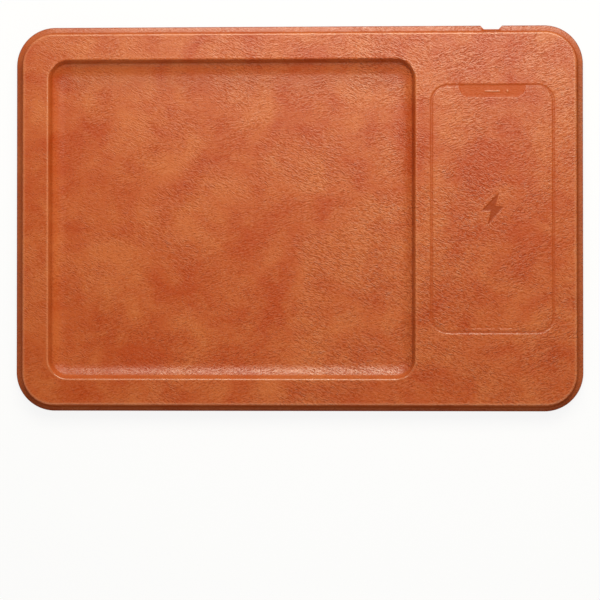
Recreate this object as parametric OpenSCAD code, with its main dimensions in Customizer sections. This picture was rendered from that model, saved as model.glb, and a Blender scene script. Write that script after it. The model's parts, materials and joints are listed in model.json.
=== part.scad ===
// Desk tray of formed leather with a wireless charging zone on its right side.
// Millimetres, +Z up, +Y to the back. The origin is in the middle of the footprint, on the desk.

/* [Body] */
// Width across the flange
body_w = 330; // [310:1:350]
// Depth across the flange, front to back
body_d = 224; // [216:1:240]
// Height from the desk to the top face
body_h = 15; // [14.5:0.5:18]
// Radius of the flange's corners
corner_r = 22.5; // [20:0.5:26]
// Width of the flange outside the side wall
flange_w = 4.2; // [3.4:0.1:5]
// Lean of the side wall from upright, in degrees
side_lean = 5; // [3:1:11]
// Radius of the top face's outer edge
top_edge_r = 1.5; // [0.5:0.1:2]
// Radius at the foot of the side wall
side_foot_r = 1; // [0.5:0.1:1.5]
// Radius of the flange's cut edge
flange_edge_r = 0.8; // [0.3:0.1:0.9]

/* [Sheets and plates] */
// Thickness of the cover leather
cover_t = 1.2; // [1:0.1:1.4]
// Thickness of the backing sheet
backing_t = 1; // [0.8:0.1:1.4]
// Thickness of the base plate
plate_t = 2; // [1.8:0.1:2.4]
// Wall of the moulded top shell
shell_t = 1.8; // [1.5:0.1:2]
// Glue layer between leather and shell
glue_gap = 0.1; // [0.05:0.05:0.2]
// Gap between parts that are stacked and bonded
seat_gap = 0.05; // [0.02:0.01:0.1]
// Gap round parts that slip into place
fit_gap = 0.25; // [0.15:0.05:0.4]

/* [Tray] */
// Rim between the flange's left edge and the tray
tray_left = 20; // [18.5:0.5:26]
// Rim between the flange's front edge and the tray
tray_front = 19; // [18.5:0.5:26]
// Rim between the flange's back edge and the tray
tray_back = 20.2; // [18.5:0.1:26]
// Zone between the tray and the flange's right edge
zone_w = 97.2; // [92:0.2:110]
// Depth of the tray
tray_depth = 6; // [4:0.25:6.25]
// Radius of the tray's corners
tray_corner_r = 11.5; // [9:0.5:16]
// Radius between the tray's wall and its floor
tray_floor_r = 6; // [3:0.5:6.5]
// Radius of the tray's upper edge
tray_edge_r = 0.8; // [0.3:0.1:0.9]
// Lean of the tray's wall from upright, in degrees
tray_lean = 15; // [10:1:22]

/* [Pressed marks] */
// Width of the phone outline, on the middle of its line
phone_w = 70; // [66:0.5:74]
// Length of the phone outline, on the middle of its line
phone_d = 142.2; // [134:0.2:150]
// Corner radius of the phone outline
phone_r = 9.4; // [6:0.2:14]
// Distance of the phone outline from the flange's right edge
phone_right = 18; // [16:0.5:22]
// Distance of the phone outline from the flange's back edge
phone_back = 36; // [32:0.5:40]
// Width of the pressed lines
mark_w = 1.4; // [0.8:0.1:2]
// Depth of the pressed lines
mark_depth = 0.4; // [0.2:0.05:0.6]
// Width of the phone outline's top band, at the outline
band_w = 39; // [34:0.5:46]
// Width of the band at its lower edge
band_low_w = 33.4; // [28:0.2:38]
// Depth of the band
band_d = 6.6; // [5:0.2:9]
// Bevel of the band's lower corners
band_bevel = 1.8; // [0.5:0.1:2.4]
// Length of the raised bar in the band
bar_l = 9.2; // [6:0.2:12]
// Width of the raised bar
bar_w = 1.2; // [0.8:0.1:1.6]
// Diameter of the raised dot beside the bar
dot_d = 1.4; // [0.8:0.1:1.8]
// Distance of the dot's middle from the bar's end
dot_gap = 4.1; // [2:0.1:6]
// Length of the home line
home_l = 22.3; // [16:0.1:30]
// Width of the home line
home_w = 1; // [0.6:0.1:1.4]
// Distance of the home line from the outline
home_in = 2.6; // [2:0.1:4]
// Height of the bolt mark
bolt_l = 18; // [12:0.2:24]

/* [Rear notch] */
// Width of the notch at the flange's edge
notch_mouth = 13.4; // [12.6:0.2:16]
// Width of the notch at its bottom
notch_bottom = 8.9; // [6:0.1:12]
// Depth of the notch
notch_d = 2.6; // [1.5:0.1:2.8]

/* [Feet] */
// Diameter of a foot
foot_d = 16; // [10:0.5:20]
// Height of a foot
foot_h = 1.5; // [1:0.1:2]
// Distance of a foot's middle from both edges
foot_in = 25; // [22:0.5:32]
// Radius of a foot's rim
foot_edge_r = 0.6; // [0.3:0.1:0.8]
// Diameter of the hollow under a foot
foot_hollow_d = 8; // [5:0.5:9]
// Depth of the hollow under a foot
foot_hollow = 0.25; // [0.1:0.05:0.4]

/* [Screws] */
// Diameter of a case boss
boss_d = 6; // [5.4:0.1:6.6]
// Distance of the corner bosses from both edges
corner_boss_in = 16; // [15:0.5:18]
// Distance of the two bosses beside the tray from its edge
zone_boss_in = 10; // [8:0.5:11]
// Shank diameter of a case screw
case_screw_d = 2.2; // [1.8:0.1:2.6]
// Head diameter of a case screw
case_head_d = 4.6; // [4:0.1:5]
// Depth of thread in a boss
case_grip = 4.5; // [3:0.1:5]
// Shank diameter of the inner screws
small_screw_d = 1.7; // [1.4:0.1:2]
// Head diameter of the inner screws
small_head_d = 3.2; // [2.8:0.1:3.6]
// Head height of the inner screws
small_head_h = 0.9; // [0.6:0.1:1]
// Boss diameter for the inner screws
small_boss_d = 4.6; // [4:0.1:5]
// Depth of thread of the inner screws
small_grip = 2.2; // [1.6:0.1:2.4]
// Play between a screw and its hole
screw_gap = 0.1; // [0.05:0.05:0.2]

/* [Ribs] */
// Spacing of the ribs under the tray
rib_pitch = 36; // [28:1:48]
// Thickness of a rib
rib_t = 1.2; // [1:0.1:1.6]
// Distance of the ribs' ends from the tray's edge
rib_in = 8; // [7:0.5:12]

/* [Circuit board] */
// Width of the board
board_w = 50; // [50:0.5:54]
// Depth of the board
board_d = 32; // [32:0.5:36]
// Thickness of the board
board_t = 1.2; // [0.8:0.1:1.4]
// Space under the board
board_clear = 1.2; // [1.1:0.1:1.5]
// Gap between the board and the rear wall
board_gap = 0.8; // [0.5:0.1:1.2]
// Distance of the board's screws from its edges
board_screw_in = 3; // [2.6:0.1:3.6]
// Gap between neighbouring parts on the board
part_gap = 1; // [0.6:0.1:1.2]
// Side of the controller chip
chip_w = 5; // [4:0.1:6]
// Height of the controller chip
chip_h = 0.85; // [0.6:0.05:1]
// Side of a bridge transistor
bridge_w = 3.3; // [2.8:0.1:3.6]
// Height of a bridge transistor
bridge_h = 0.9; // [0.7:0.05:1.1]
// Side of the power inductor
inductor_w = 7; // [6:0.1:7.6]
// Height of the power inductor
inductor_h = 3; // [2.4:0.1:3.2]
// Length of a resonant capacitor
tank_l = 4.5; // [4:0.1:4.8]
// Width of a resonant capacitor
tank_w = 3.2; // [2.8:0.1:3.4]
// Height of a resonant capacitor
tank_h = 2; // [1.6:0.1:2.4]
// Length of an input capacitor
input_l = 3.2; // [3:0.1:3.4]
// Width of an input capacitor
input_w = 1.6; // [1.4:0.1:1.8]
// Height of an input capacitor
input_h = 1.6; // [1.2:0.1:1.8]
// Length of a resistor
resistor_l = 1.6; // [1.4:0.1:1.8]
// Width of a resistor
resistor_w = 0.8; // [0.7:0.05:0.9]
// Height of a resistor
resistor_h = 0.5; // [0.4:0.05:0.6]
// Diameter of the solder over a coil lead
solder_d = 2.6; // [2.2:0.1:3]

/* [Port] */
// Width of the receptacle's shell
usb_w = 8.94; // [8.8:0.02:9.2]
// Height of the receptacle's shell
usb_h = 3.26; // [3.16:0.02:3.4]
// Length of the receptacle's shell
usb_l = 7.4; // [7:0.1:8]
// Sheet of the receptacle's shell
usb_t = 0.3; // [0.2:0.05:0.35]
// Rim of the port bezel round its opening
bezel_rim = 0.9; // [0.7:0.1:1]
// How far the bezel stands out of the wall
bezel_proud = 0.35; // [0.2:0.05:0.5]
// Chamfer of the bezel's front edge
bezel_step = 0.2; // [0.1:0.05:0.3]
// How far the receptacle's mouth lies behind the bezel's face
usb_recess = 0.4; // [0.2:0.05:0.6]
// Width of the tongue
tongue_w = 6.7; // [6.5:0.05:6.9]
// Thickness of the tongue
tongue_t = 0.7; // [0.6:0.05:0.8]
// How far the tongue's tip lies behind the mouth
tongue_back = 0.9; // [0.7:0.05:1.2]
// Length of the block that holds the tongue
tongue_block = 1.8; // [1.4:0.1:2.2]
// Pitch of the contacts
contact_pitch = 0.5; // [0.46:0.01:0.52]
// Width of a contact
contact_w = 0.26; // [0.2:0.02:0.32]
// Thickness of a contact
contact_t = 0.08; // [0.06:0.01:0.12]
// Thickness of the receptacle's legs
leg_t = 0.3; // [0.2:0.05:0.35]
// Width of the receptacle's legs
leg_w = 1.1; // [0.8:0.1:1.2]

/* [Charging coil] */
// Loops of the coil
coil_loops = 10; // [7:1:11]
// Diameter of the coil's wire
wire_d = 0.8; // [0.6:0.05:0.9]
// Gap between the coil's loops
loop_gap = 0.45; // [0.42:0.01:0.5]
// Radius of the innermost loop
coil_in_r = 10.5; // [9:0.1:12]
// Thickness of the insulating film
film_t = 0.25; // [0.1:0.05:0.3]
// Side of the ferrite plate
ferrite_w = 52; // [52:0.5:54]
// Thickness of the ferrite plate
ferrite_t = 1.5; // [1.4:0.1:1.8]
// Thickness of the shield sheet
shield_t = 0.4; // [0.2:0.05:0.5]
// Thickness of the carrier's floor
carrier_t = 1.5; // [1.2:0.1:1.6]
// Thickness of the carrier's rim
carrier_rim = 1.2; // [1:0.1:1.5]
// Width of the carrier's edge outside its rim
carrier_edge = 5.5; // [5:0.1:6]
// Corner radius of the ferrite plate
ferrite_r = 4; // [3:0.5:6]
// Side of the foam pad
foam_w = 44; // [36:1:50]

/* [Hidden] */
$fn = 64;
arc_steps = 6;
fillet_steps = 9;
// depth by which bosses and ribs are rooted in the wall that carries them
root_depth = 0.3;
// how far cuts run past the faces that they open
past = 1;
backing_z = foot_h;
plate_z = backing_z + backing_t;
plate_top = plate_z + plate_t;
flange_top = plate_top + cover_t;
tray_floor = body_h - tray_depth;
// offsets of the shell's two faces from the leather's outer face
shell_out = cover_t + glue_gap;
shell_in = shell_out + shell_t;
roof_z = body_h - shell_in;
dish_under = tray_floor - shell_in;
tray_w = body_w - tray_left - zone_w;
tray_d = body_d - tray_front - tray_back;
tray_x = -body_w / 2 + tray_left + tray_w / 2;
tray_y = -body_d / 2 + tray_front + tray_d / 2;
// the floor's fillet is limited by the wall above it
floor_r = min(tray_floor_r, (tray_depth - tray_edge_r) / (1 - sin(tray_lean)));
phone_x = body_w / 2 - phone_right - phone_w / 2;
phone_y = body_d / 2 - phone_back - phone_d / 2;
// bosses stand midway between the outer wall and the tray's wall
wall_in = side_inset(roof_z, shell_in);
front_boss_in = (wall_in + tray_front - shell_in) / 2;
back_boss_in = (wall_in + tray_back - shell_in) / 2;
left_boss_in = (wall_in + tray_left - shell_in) / 2;
right_boss_in = wall_in + boss_d / 2 + fit_gap;
zone_boss_x = body_w / 2 - zone_w + zone_boss_in;
boss_places = [
    [-body_w / 2 + corner_boss_in, -body_d / 2 + corner_boss_in],
    [body_w / 2 - corner_boss_in, -body_d / 2 + corner_boss_in],
    [-body_w / 2 + corner_boss_in, body_d / 2 - corner_boss_in],
    [body_w / 2 - corner_boss_in, body_d / 2 - corner_boss_in],
    [tray_x, -body_d / 2 + front_boss_in],
    [tray_x, body_d / 2 - back_boss_in],
    [-body_w / 2 + left_boss_in, tray_y],
    [body_w / 2 - right_boss_in, tray_y],
    [zone_boss_x, -body_d / 2 + front_boss_in],
    [zone_boss_x, body_d / 2 - back_boss_in]
];
foot_x = body_w / 2 - foot_in;
foot_y = body_d / 2 - foot_in;
// board and port
board_z = plate_top + board_clear;
board_top = board_z + board_t;
port_z = board_top + seat_gap + usb_h / 2;
wall_face_y = body_d / 2 - side_inset(port_z, 0);
shell_face_y = body_d / 2 - side_inset(port_z, shell_in);
board_back = shell_face_y - board_gap;
board_front = board_back - board_d;
bezel_face_y = wall_face_y + bezel_proud;
usb_mouth_y = bezel_face_y - usb_recess;
usb_back_y = usb_mouth_y - usb_l;
bezel_hole_w = usb_w + 2 * fit_gap;
bezel_hole_h = usb_h + 2 * fit_gap;
bezel_w = bezel_hole_w + 2 * bezel_rim;
bezel_h = bezel_hole_h + 2 * bezel_rim;
leg_x = usb_w / 2 - leg_t / 2;
leg_rows = [usb_back_y + leg_w, board_back - 2 * leg_w];
board_screw_x = board_w / 2 - board_screw_in;
board_screw_y = [board_back - board_screw_in, board_front + board_screw_in];
// rows of parts on the board, from its front edge and from the port
part_z = board_top + seat_gap;
tank_y = board_front + 1.5 * part_gap + tank_w / 2;
chip_y = tank_y + 1.5 * tank_w + 2.5 * part_gap + chip_w / 2;
bridge_x = chip_w / 2 + part_gap + bridge_w / 2;
inductor_x = -chip_w / 2 - part_gap - inductor_w / 2;
input_x = -usb_w / 2 - 1.5 * part_gap - input_l / 2;
resistor_x = usb_w / 2 + 1.5 * part_gap + resistor_l / 2;
rear_row_y = board_back - 3 * part_gap;
// coil stack, from the roof down
film_z = roof_z - seat_gap - film_t;
coil_z = film_z - seat_gap - wire_d / 2;
ferrite_z = coil_z - wire_d / 2 - seat_gap - ferrite_t;
shield_z = ferrite_z - seat_gap - shield_t;
carrier_top = shield_z - seat_gap;
carrier_z = carrier_top - carrier_t;
carrier_in_w = ferrite_w + 2 * fit_gap;
carrier_w = carrier_in_w + 2 * carrier_rim + 2 * carrier_edge;
carrier_screw = carrier_in_w / 2 + carrier_rim + small_boss_d / 2 - fit_gap;
// coil wire: the inner end dives through a window of the ferrite and leaves by a slot
loop_pitch = wire_d + loop_gap;
coil_out_r = coil_in_r + (coil_loops + 0.5) * loop_pitch;
lead_z = ferrite_z + fit_gap + wire_d / 2;
dive_angle = 44;
window_x = -coil_in_r * (1 + cos(dive_angle)) / 2;
window_y = -coil_in_r * sin(dive_angle) / 2;
window_r = coil_in_r * sin(dive_angle) / 2 + wire_d / 2 + 2 * fit_gap;
slot_w = wire_d + 4 * fit_gap;
pad_x = tank_l + 1.5 * part_gap + solder_d / 2;
pad_y = board_front + 1.5 * part_gap + solder_d;
pad_z = board_top + seat_gap + wire_d / 2;

// Points of an arc round c
function arc(c, r, a0, a1, n = arc_steps) =
    [for (i = [0:n]) let (a = a0 + (a1 - a0) * i / n) c + r * [cos(a), sin(a)]];

// Ease from 0 to 1
function ease(t) = let (u = min(max(t, 0), 1)) u * u * (3 - 2 * u);

// Inset of the side wall's face at height z, for a face lying o inside the leather's outer face
function side_inset(z, o) = flange_w + (z - flange_top) * tan(side_lean) + o / cos(side_lean);

// The side wall's upper end, rounded where the offset leaves a radius
function side_top(o) = let (r = top_edge_r - o, z = body_h - o)
    r > 0.05
        ? arc([side_inset(z - r, o) + r / cos(side_lean), z - r], r, 180 - side_lean, 90)
        : [[side_inset(z, o), z]];

// Section of the body at offset o, from height low
function side_profile(o, low) = concat([[side_inset(low, o), low]], side_top(o));

// Section of the leather's outer face with its flange
function leather_profile() = let (foot_z = flange_top + side_foot_r)
    concat(
        [[0, plate_top]],
        arc([flange_edge_r, flange_top - flange_edge_r], flange_edge_r, 180, 90),
        arc([side_inset(foot_z, 0) - side_foot_r / cos(side_lean), foot_z], side_foot_r,
            270, 360 - side_lean),
        side_top(0));

// Section of the tray's hollow, grown by o into the body, as insets from the tray's edge
function tray_profile(o) =
    let (s = tray_lean, e = tray_edge_r - o, above = body_h + 2 * past,
        cz = tray_floor + floor_r,
        cx = (floor_r - (cz - body_h) * sin(s)) / cos(s),
        ex = e * (sin(s) - 1) / cos(s))
    concat(
        arc([cx, cz], floor_r + o, 270, 180 + s, fillet_steps),
        e > 0.05
            ? concat(arc([ex, body_h - e], e, s, 90), [[ex, above]])
            : [[-o / cos(s) + (body_h - above) * tan(s), above]]);

// A block whose section, given as [inset, height], runs round a rectangle with round corners
module swept_block(w, d, r, profile) {
    low = profile[0][1];
    high = profile[len(profile) - 1][1];
    section = concat([[0, low]], [for (p = profile) [r - p[0], p[1]]], [[0, high]]);
    for (k = [0:3]) {
        side = k % 2 == 0 ? w : d;
        run = k % 2 == 0 ? d : w;
        rotate([0, 0, 90 * k]) {
            translate([side / 2 - r, run / 2 - r, 0])
                rotate_extrude(angle = 90)
                    polygon(section);
            translate([side / 2 - r, 0, 0])
                rotate([90, 0, 0])
                    linear_extrude(height = run - 2 * r, center = true)
                        polygon(section);
        }
    }
    translate([-w / 2 + r, -d / 2 + r, low])
        cube([w - 2 * r, d - 2 * r, high - low]);
}

// The tray's hollow, grown by o
module tray_hollow(o) {
    translate([tray_x, tray_y, 0])
        swept_block(tray_w, tray_d, tray_corner_r, tray_profile(o));
}

// The body without the flange, o inside the leather's outer face
module formed_block(o, low) {
    difference() {
        swept_block(body_w, body_d, corner_r, side_profile(o, low));
        tray_hollow(o);
    }
}

// Rectangle with round corners, in the plane
module round_rect(w, d, r) {
    square([w - 2 * r, d], center = true);
    square([w, d - 2 * r], center = true);
    for (x = [-1, 1], y = [-1, 1])
        translate([x * (w / 2 - r), y * (d / 2 - r)])
            circle(r = r);
}

// Oblong with half-round ends, in the plane
module oblong(w, h) {
    square([w - h, h], center = true);
    for (x = [-1, 1])
        translate([x * (w - h) / 2, 0])
            circle(d = h);
}

// The rear notch in the plane, through the flange's layers
module notch_shape() {
    m = notch_mouth / 2;
    n = notch_bottom / 2;
    translate([phone_x, body_d / 2])
        polygon([[-n, -notch_d], [n, -notch_d], [m, 0], [m, past], [-m, past], [-m, 0]]);
}

module notch_cut() {
    translate([0, 0, backing_z - past])
        linear_extrude(height = flange_top - backing_z + 2 * past)
            notch_shape();
}

// An oblong bar that runs along Y through the rear wall at the port
module port_bar(w, h, y0, y1) {
    translate([phone_x, y1, port_z])
        rotate([90, 0, 0])
            linear_extrude(height = y1 - y0)
                oblong(w, h);
}

// Cut for the bezel through leather and shell
module port_cut() {
    port_bar(bezel_w + 2 * seat_gap, bezel_h + 2 * seat_gap, shell_face_y - 3 * past, body_d / 2 + past);
}

// One pressed mark, given in the plane round the middle of the phone outline
module pressed(y) {
    translate([phone_x, phone_y + y, body_h - mark_depth])
        linear_extrude(height = mark_depth + past)
            children();
}

// The phone's marks, pressed into the leather: outline, top band, home line and bolt
module phone_marks() {
    pressed(0)
        difference() {
            round_rect(phone_w + mark_w, phone_d + mark_w, phone_r + mark_w / 2);
            round_rect(phone_w - mark_w, phone_d - mark_w, phone_r - mark_w / 2);
        }
    pressed(phone_d / 2)
        difference() {
            band_shape();
            translate([0, -band_d / 2])
                oblong(bar_l, bar_w);
            translate([bar_l / 2 + dot_gap, -band_d / 2])
                circle(d = dot_d);
        }
    pressed(-phone_d / 2 + home_in)
        oblong(home_l, home_w);
    pressed(0)
        polygon(bolt_l * [[0.196, 0.5], [-0.34, -0.058], [-0.051, -0.067], [-0.138, -0.5],
            [0.34, 0.051], [0.087, 0.093]]);
}

// The band at the outline's far end, wide at the outline and bevelled at its lower corners
module band_shape() {
    w = band_w / 2;
    l = band_low_w / 2;
    k = (w - l) * band_bevel / band_d;
    polygon([[-w, 0], [-l - k, -band_d + band_bevel], [-l + band_bevel, -band_d],
        [l - band_bevel, -band_d], [l + k, -band_d + band_bevel], [w, 0]]);
}

// Screw with a flat head, standing point up from its head at z = 0
module flat_screw(shank_d, head_d, length) {
    head_h = (head_d - shank_d) / 2;
    difference() {
        union() {
            cylinder(d1 = head_d, d2 = shank_d, h = head_h);
            translate([0, 0, head_h - 0.05])
                cylinder(d = shank_d, h = length - head_h - 0.45);
            translate([0, 0, length - 0.55])
                cylinder(d1 = shank_d, d2 = shank_d * 0.55, h = 0.55);
        }
        for (a = [0, 90])
            rotate([0, 0, a])
                translate([-head_d * 0.27, -0.25, -0.1])
                    cube([head_d * 0.54, 0.5, 0.75]);
    }
}

// Screw with a round flat head, standing point up, its head's seat at z = 0
module pan_screw(shank_d, head_d, head_h, length) {
    difference() {
        union() {
            translate([0, 0, -head_h])
                cylinder(d1 = head_d * 0.8, d2 = head_d, h = head_h * 0.45);
            translate([0, 0, -head_h * 0.56])
                cylinder(d = head_d, h = head_h * 0.56);
            translate([0, 0, -0.05])
                cylinder(d = shank_d, h = length - 0.35);
            translate([0, 0, length - 0.41])
                cylinder(d1 = shank_d, d2 = shank_d * 0.55, h = 0.41);
        }
        for (a = [0, 90])
            rotate([0, 0, a])
                translate([-head_d * 0.3, -0.2, -head_h - 0.1])
                    cube([head_d * 0.6, 0.4, 0.55]);
    }
}

module cover_leather() {
    color([0.72, 0.4, 0.22])
        difference() {
            swept_block(body_w, body_d, corner_r, leather_profile());
            tray_hollow(0);
            formed_block(cover_t, plate_top - past);
            phone_marks();
            notch_cut();
            port_cut();
        }
}

module top_shell() {
    color([0.13, 0.13, 0.14])
        difference() {
            union() {
                difference() {
                    formed_block(shell_out, plate_top);
                    formed_block(shell_in, plate_top - past);
                }
                for (p = boss_places)
                    roof_boss(p, boss_d, plate_top);
                for (x = [-1, 1], y = board_screw_y)
                    roof_boss([phone_x + x * board_screw_x, y], small_boss_d, board_top);
                for (x = [-1, 1], y = [-1, 1])
                    roof_boss([phone_x + x * carrier_screw, phone_y + y * carrier_screw],
                        small_boss_d, carrier_top);
                tray_ribs();
            }
            for (p = boss_places)
                boss_hole(p, case_screw_d, plate_top, case_grip);
            for (x = [-1, 1], y = board_screw_y)
                boss_hole([phone_x + x * board_screw_x, y], small_screw_d, board_top, small_grip);
            for (x = [-1, 1], y = [-1, 1])
                boss_hole([phone_x + x * carrier_screw, phone_y + y * carrier_screw],
                    small_screw_d, carrier_top, small_grip);
            port_cut();
        }
}

// A boss that hangs from the roof down to height low
module roof_boss(p, d, low) {
    translate([p[0], p[1], low])
        cylinder(d = d, h = roof_z - low + root_depth);
}

// The screw's hole in a boss, deeper than the screw's grip
module boss_hole(p, screw_d, low, grip) {
    translate([p[0], p[1], low - past])
        cylinder(d = screw_d + screw_gap, h = grip + past + 2 * screw_gap);
}

// Ribs under the tray's floor, standing on the base plate
module tray_ribs() {
    low = plate_top + seat_gap;
    high = dish_under + root_depth;
    run_w = tray_w - 2 * rib_in;
    run_d = tray_d - 2 * rib_in;
    nx = floor(run_w / rib_pitch);
    ny = floor(run_d / rib_pitch);
    for (i = [0:nx])
        translate([tray_x + (i - nx / 2) * rib_pitch - rib_t / 2, tray_y - run_d / 2, low])
            cube([rib_t, run_d, high - low]);
    for (j = [0:ny])
        translate([tray_x - run_w / 2, tray_y + (j - ny / 2) * rib_pitch - rib_t / 2, low])
            cube([run_w, rib_t, high - low]);
}

module base_plate() {
    hole_d = case_screw_d + 2 * screw_gap;
    sink_d = case_head_d + 2 * screw_gap;
    color([0.2, 0.19, 0.18])
        difference() {
            translate([0, 0, plate_z])
                linear_extrude(height = plate_t)
                    round_rect(body_w, body_d, corner_r);
            notch_cut();
            for (p = boss_places)
                translate([p[0], p[1], plate_z]) {
                    translate([0, 0, -past])
                        cylinder(d = hole_d, h = plate_t + 2 * past);
                    cylinder(d1 = sink_d, d2 = hole_d, h = (sink_d - hole_d) / 2);
                }
        }
}

module base_leather() {
    color([0.4, 0.24, 0.15])
        difference() {
            translate([0, 0, backing_z])
                linear_extrude(height = backing_t)
                    round_rect(body_w, body_d, corner_r);
            notch_cut();
        }
}

// One foot: a disc with a rounded rim and a shallow hollow underneath
module foot(x, y) {
    r = foot_d / 2;
    h = foot_hollow_d / 2;
    color([0.08, 0.08, 0.08])
        translate([x, y, 0])
            rotate_extrude()
                polygon(concat(
                    [[0, foot_hollow], [h - foot_hollow, foot_hollow], [h, 0]],
                    arc([r - foot_edge_r, foot_edge_r], foot_edge_r, 270, 360),
                    [[r, foot_h], [0, foot_h]]));
}

module foot_front_left() {
    foot(-foot_x, -foot_y);
}

module foot_front_right() {
    foot(foot_x, -foot_y);
}

module foot_back_left() {
    foot(-foot_x, foot_y);
}

module foot_back_right() {
    foot(foot_x, foot_y);
}

module case_screws() {
    color([0.6, 0.6, 0.62])
        for (p = boss_places)
            translate([p[0], p[1], plate_z + screw_gap / 2])
                flat_screw(case_screw_d, case_head_d, plate_t + case_grip - screw_gap);
}

// Bezel in the rear wall: a sleeve through leather and shell with a stepped front edge
module port_bezel() {
    inner_y = shell_face_y - board_gap + fit_gap;
    color([0.1, 0.1, 0.1])
        difference() {
            union() {
                port_bar(bezel_w, bezel_h, inner_y, bezel_face_y - bezel_step);
                port_bar(bezel_w - 2 * bezel_step, bezel_h - 2 * bezel_step, inner_y, bezel_face_y);
            }
            port_bar(bezel_hole_w, bezel_hole_h, inner_y - past, body_d / 2);
        }
}

// The receptacle's shell: an oblong tube with a closed back and four legs in the board
module usb_shell() {
    color([0.75, 0.75, 0.76])
        difference() {
            union() {
                port_bar(usb_w, usb_h, usb_back_y, usb_mouth_y);
                for (x = [-1, 1], y = leg_rows)
                    translate([phone_x + x * leg_x - leg_t / 2, y, board_z])
                        cube([leg_t, leg_w, port_z - board_z]);
            }
            port_bar(usb_w - 2 * usb_t, usb_h - 2 * usb_t, usb_back_y + usb_t, usb_mouth_y + past);
        }
}

// The receptacle's tongue on the block that fills the shell's back
module usb_tongue() {
    in_w = usb_w - 2 * usb_t - 2 * seat_gap;
    in_h = usb_h - 2 * usb_t - 2 * seat_gap;
    block_y = usb_back_y + usb_t + seat_gap;
    color([0.12, 0.12, 0.13]) {
        port_bar(in_w, in_h, block_y, block_y + tongue_block);
        translate([phone_x - tongue_w / 2, block_y, port_z - tongue_t / 2])
            cube([tongue_w, usb_mouth_y - tongue_back - block_y, tongue_t]);
    }
}

// Two rows of contacts on the tongue's faces
module usb_contacts() {
    y0 = usb_back_y + usb_t + seat_gap + tongue_block;
    y1 = usb_mouth_y - tongue_back - leg_t;
    color([0.85, 0.68, 0.3])
        for (k = [0:11], z = [tongue_t / 2, -tongue_t / 2 - contact_t])
            translate([phone_x + (k - 5.5) * contact_pitch - contact_w / 2, y0, port_z + z])
                cube([contact_w, y1 - y0, contact_t]);
}

module circuit_board() {
    color([0.05, 0.25, 0.14])
        difference() {
            translate([phone_x, (board_back + board_front) / 2, board_z])
                linear_extrude(height = board_t)
                    round_rect(board_w, board_d, board_screw_in / 2);
            for (x = [-1, 1], y = board_screw_y)
                translate([phone_x + x * board_screw_x, y, board_z - past])
                    cylinder(d = small_screw_d + 2 * screw_gap, h = board_t + 2 * past);
            for (x = [-1, 1], y = leg_rows)
                translate([phone_x + x * leg_x - leg_t / 2 - screw_gap, y - screw_gap, board_z - past])
                    cube([leg_t + 2 * screw_gap, leg_w + 2 * screw_gap, board_t + 2 * past]);
        }
}

module board_screws() {
    color([0.6, 0.6, 0.62])
        for (x = [-1, 1], y = board_screw_y)
            translate([phone_x + x * board_screw_x, y, board_z])
                pan_screw(small_screw_d, small_head_d, small_head_h, board_t + small_grip);
}

// A flat chip with a dimple at its first corner
module flat_chip(x, y, w, h) {
    dimple = w / 8;
    translate([phone_x + x, y, part_z])
        difference() {
            translate([-w / 2, -w / 2, 0])
                cube([w, w, h]);
            translate([-w / 2 + dimple * 1.5, w / 2 - dimple * 1.5, h - dimple / 4])
                cylinder(d = dimple, h = dimple);
        }
}

module controller_chip() {
    color([0.08, 0.08, 0.09])
        flat_chip(0, chip_y, chip_w, chip_h);
}

module bridge_transistors() {
    step = bridge_w + part_gap;
    color([0.1, 0.1, 0.11])
        for (i = [0, 1], j = [-0.5, 0.5])
            flat_chip(bridge_x + i * step, chip_y + j * step, bridge_w, bridge_h);
}

module power_inductor() {
    color([0.25, 0.25, 0.26])
        translate([phone_x + inductor_x, chip_y, part_z])
            linear_extrude(height = inductor_h)
                round_rect(inductor_w, inductor_w, inductor_w / 8);
}

// A chip part: a body between two metal ends
module chip_part(x, y, l, w, h) {
    end = l / 6;
    inset = l / 80;
    translate([phone_x + x - l / 2, y - w / 2, part_z]) {
        translate([end - inset, inset, inset])
            cube([l - 2 * end + 2 * inset, w - 2 * inset, h - 2 * inset]);
        for (k = [0, l - end])
            translate([k, 0, 0])
                cube([end, w, h]);
    }
}

module resonant_capacitors() {
    color([0.72, 0.58, 0.42])
        for (i = [-0.5, 0.5], j = [0, 1])
            chip_part(i * (tank_l + part_gap), tank_y + j * (tank_w + part_gap), tank_l, tank_w, tank_h);
}

module input_capacitors() {
    color([0.72, 0.58, 0.42])
        for (i = [0, 1], j = [0, 1])
            chip_part(input_x - i * (input_l + part_gap), rear_row_y - j * (input_w + part_gap),
                input_l, input_w, input_h);
}

module chip_resistors() {
    color([0.1, 0.1, 0.1])
        for (i = [0:3], j = [0, 1])
            chip_part(resistor_x + i * (resistor_l + part_gap), rear_row_y - j * (resistor_w + part_gap),
                resistor_l, resistor_w, resistor_h);
}

// Path of the coil's wire, round the coil's middle: a straight end on the board, the lead to the
// outer loop, the loops inward, a dive under them and the lead back to the board
lead_run = pad_y - phone_y - solder_d / 2;
lead_steps = 14;
lead_in = [for (i = [0:lead_steps - 1]) let (t = i / lead_steps)
    [pad_x + (coil_out_r - pad_x) * ease((t - 0.12) / 0.5), lead_run * (1 - t),
        pad_z + (coil_z - pad_z) * ease((t - 0.06) / 0.4)]];
turn_steps = 24 * coil_loops + 12;
turns = [for (i = [0:turn_steps]) let (
        r = coil_out_r - loop_pitch * i / 24,
        z = lead_z + (coil_z - lead_z) * ease((turn_steps - i) * 15 / dive_angle))
    [r * cos(15 * i), -r * sin(15 * i), z]];
lead_out = [for (i = [1:lead_steps]) let (t = i / lead_steps)
    [-coil_in_r + (coil_in_r - pad_x) * ease((t - 0.55) / 0.35), lead_run * t,
        lead_z + (pad_z - lead_z) * ease((t - 0.55) / 0.35)]];
wire_path = concat(
    [[pad_x, lead_run + solder_d / 2, pad_z]],
    lead_in,
    turns,
    lead_out,
    [[-pad_x, lead_run + solder_d / 2, pad_z]]);
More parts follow.
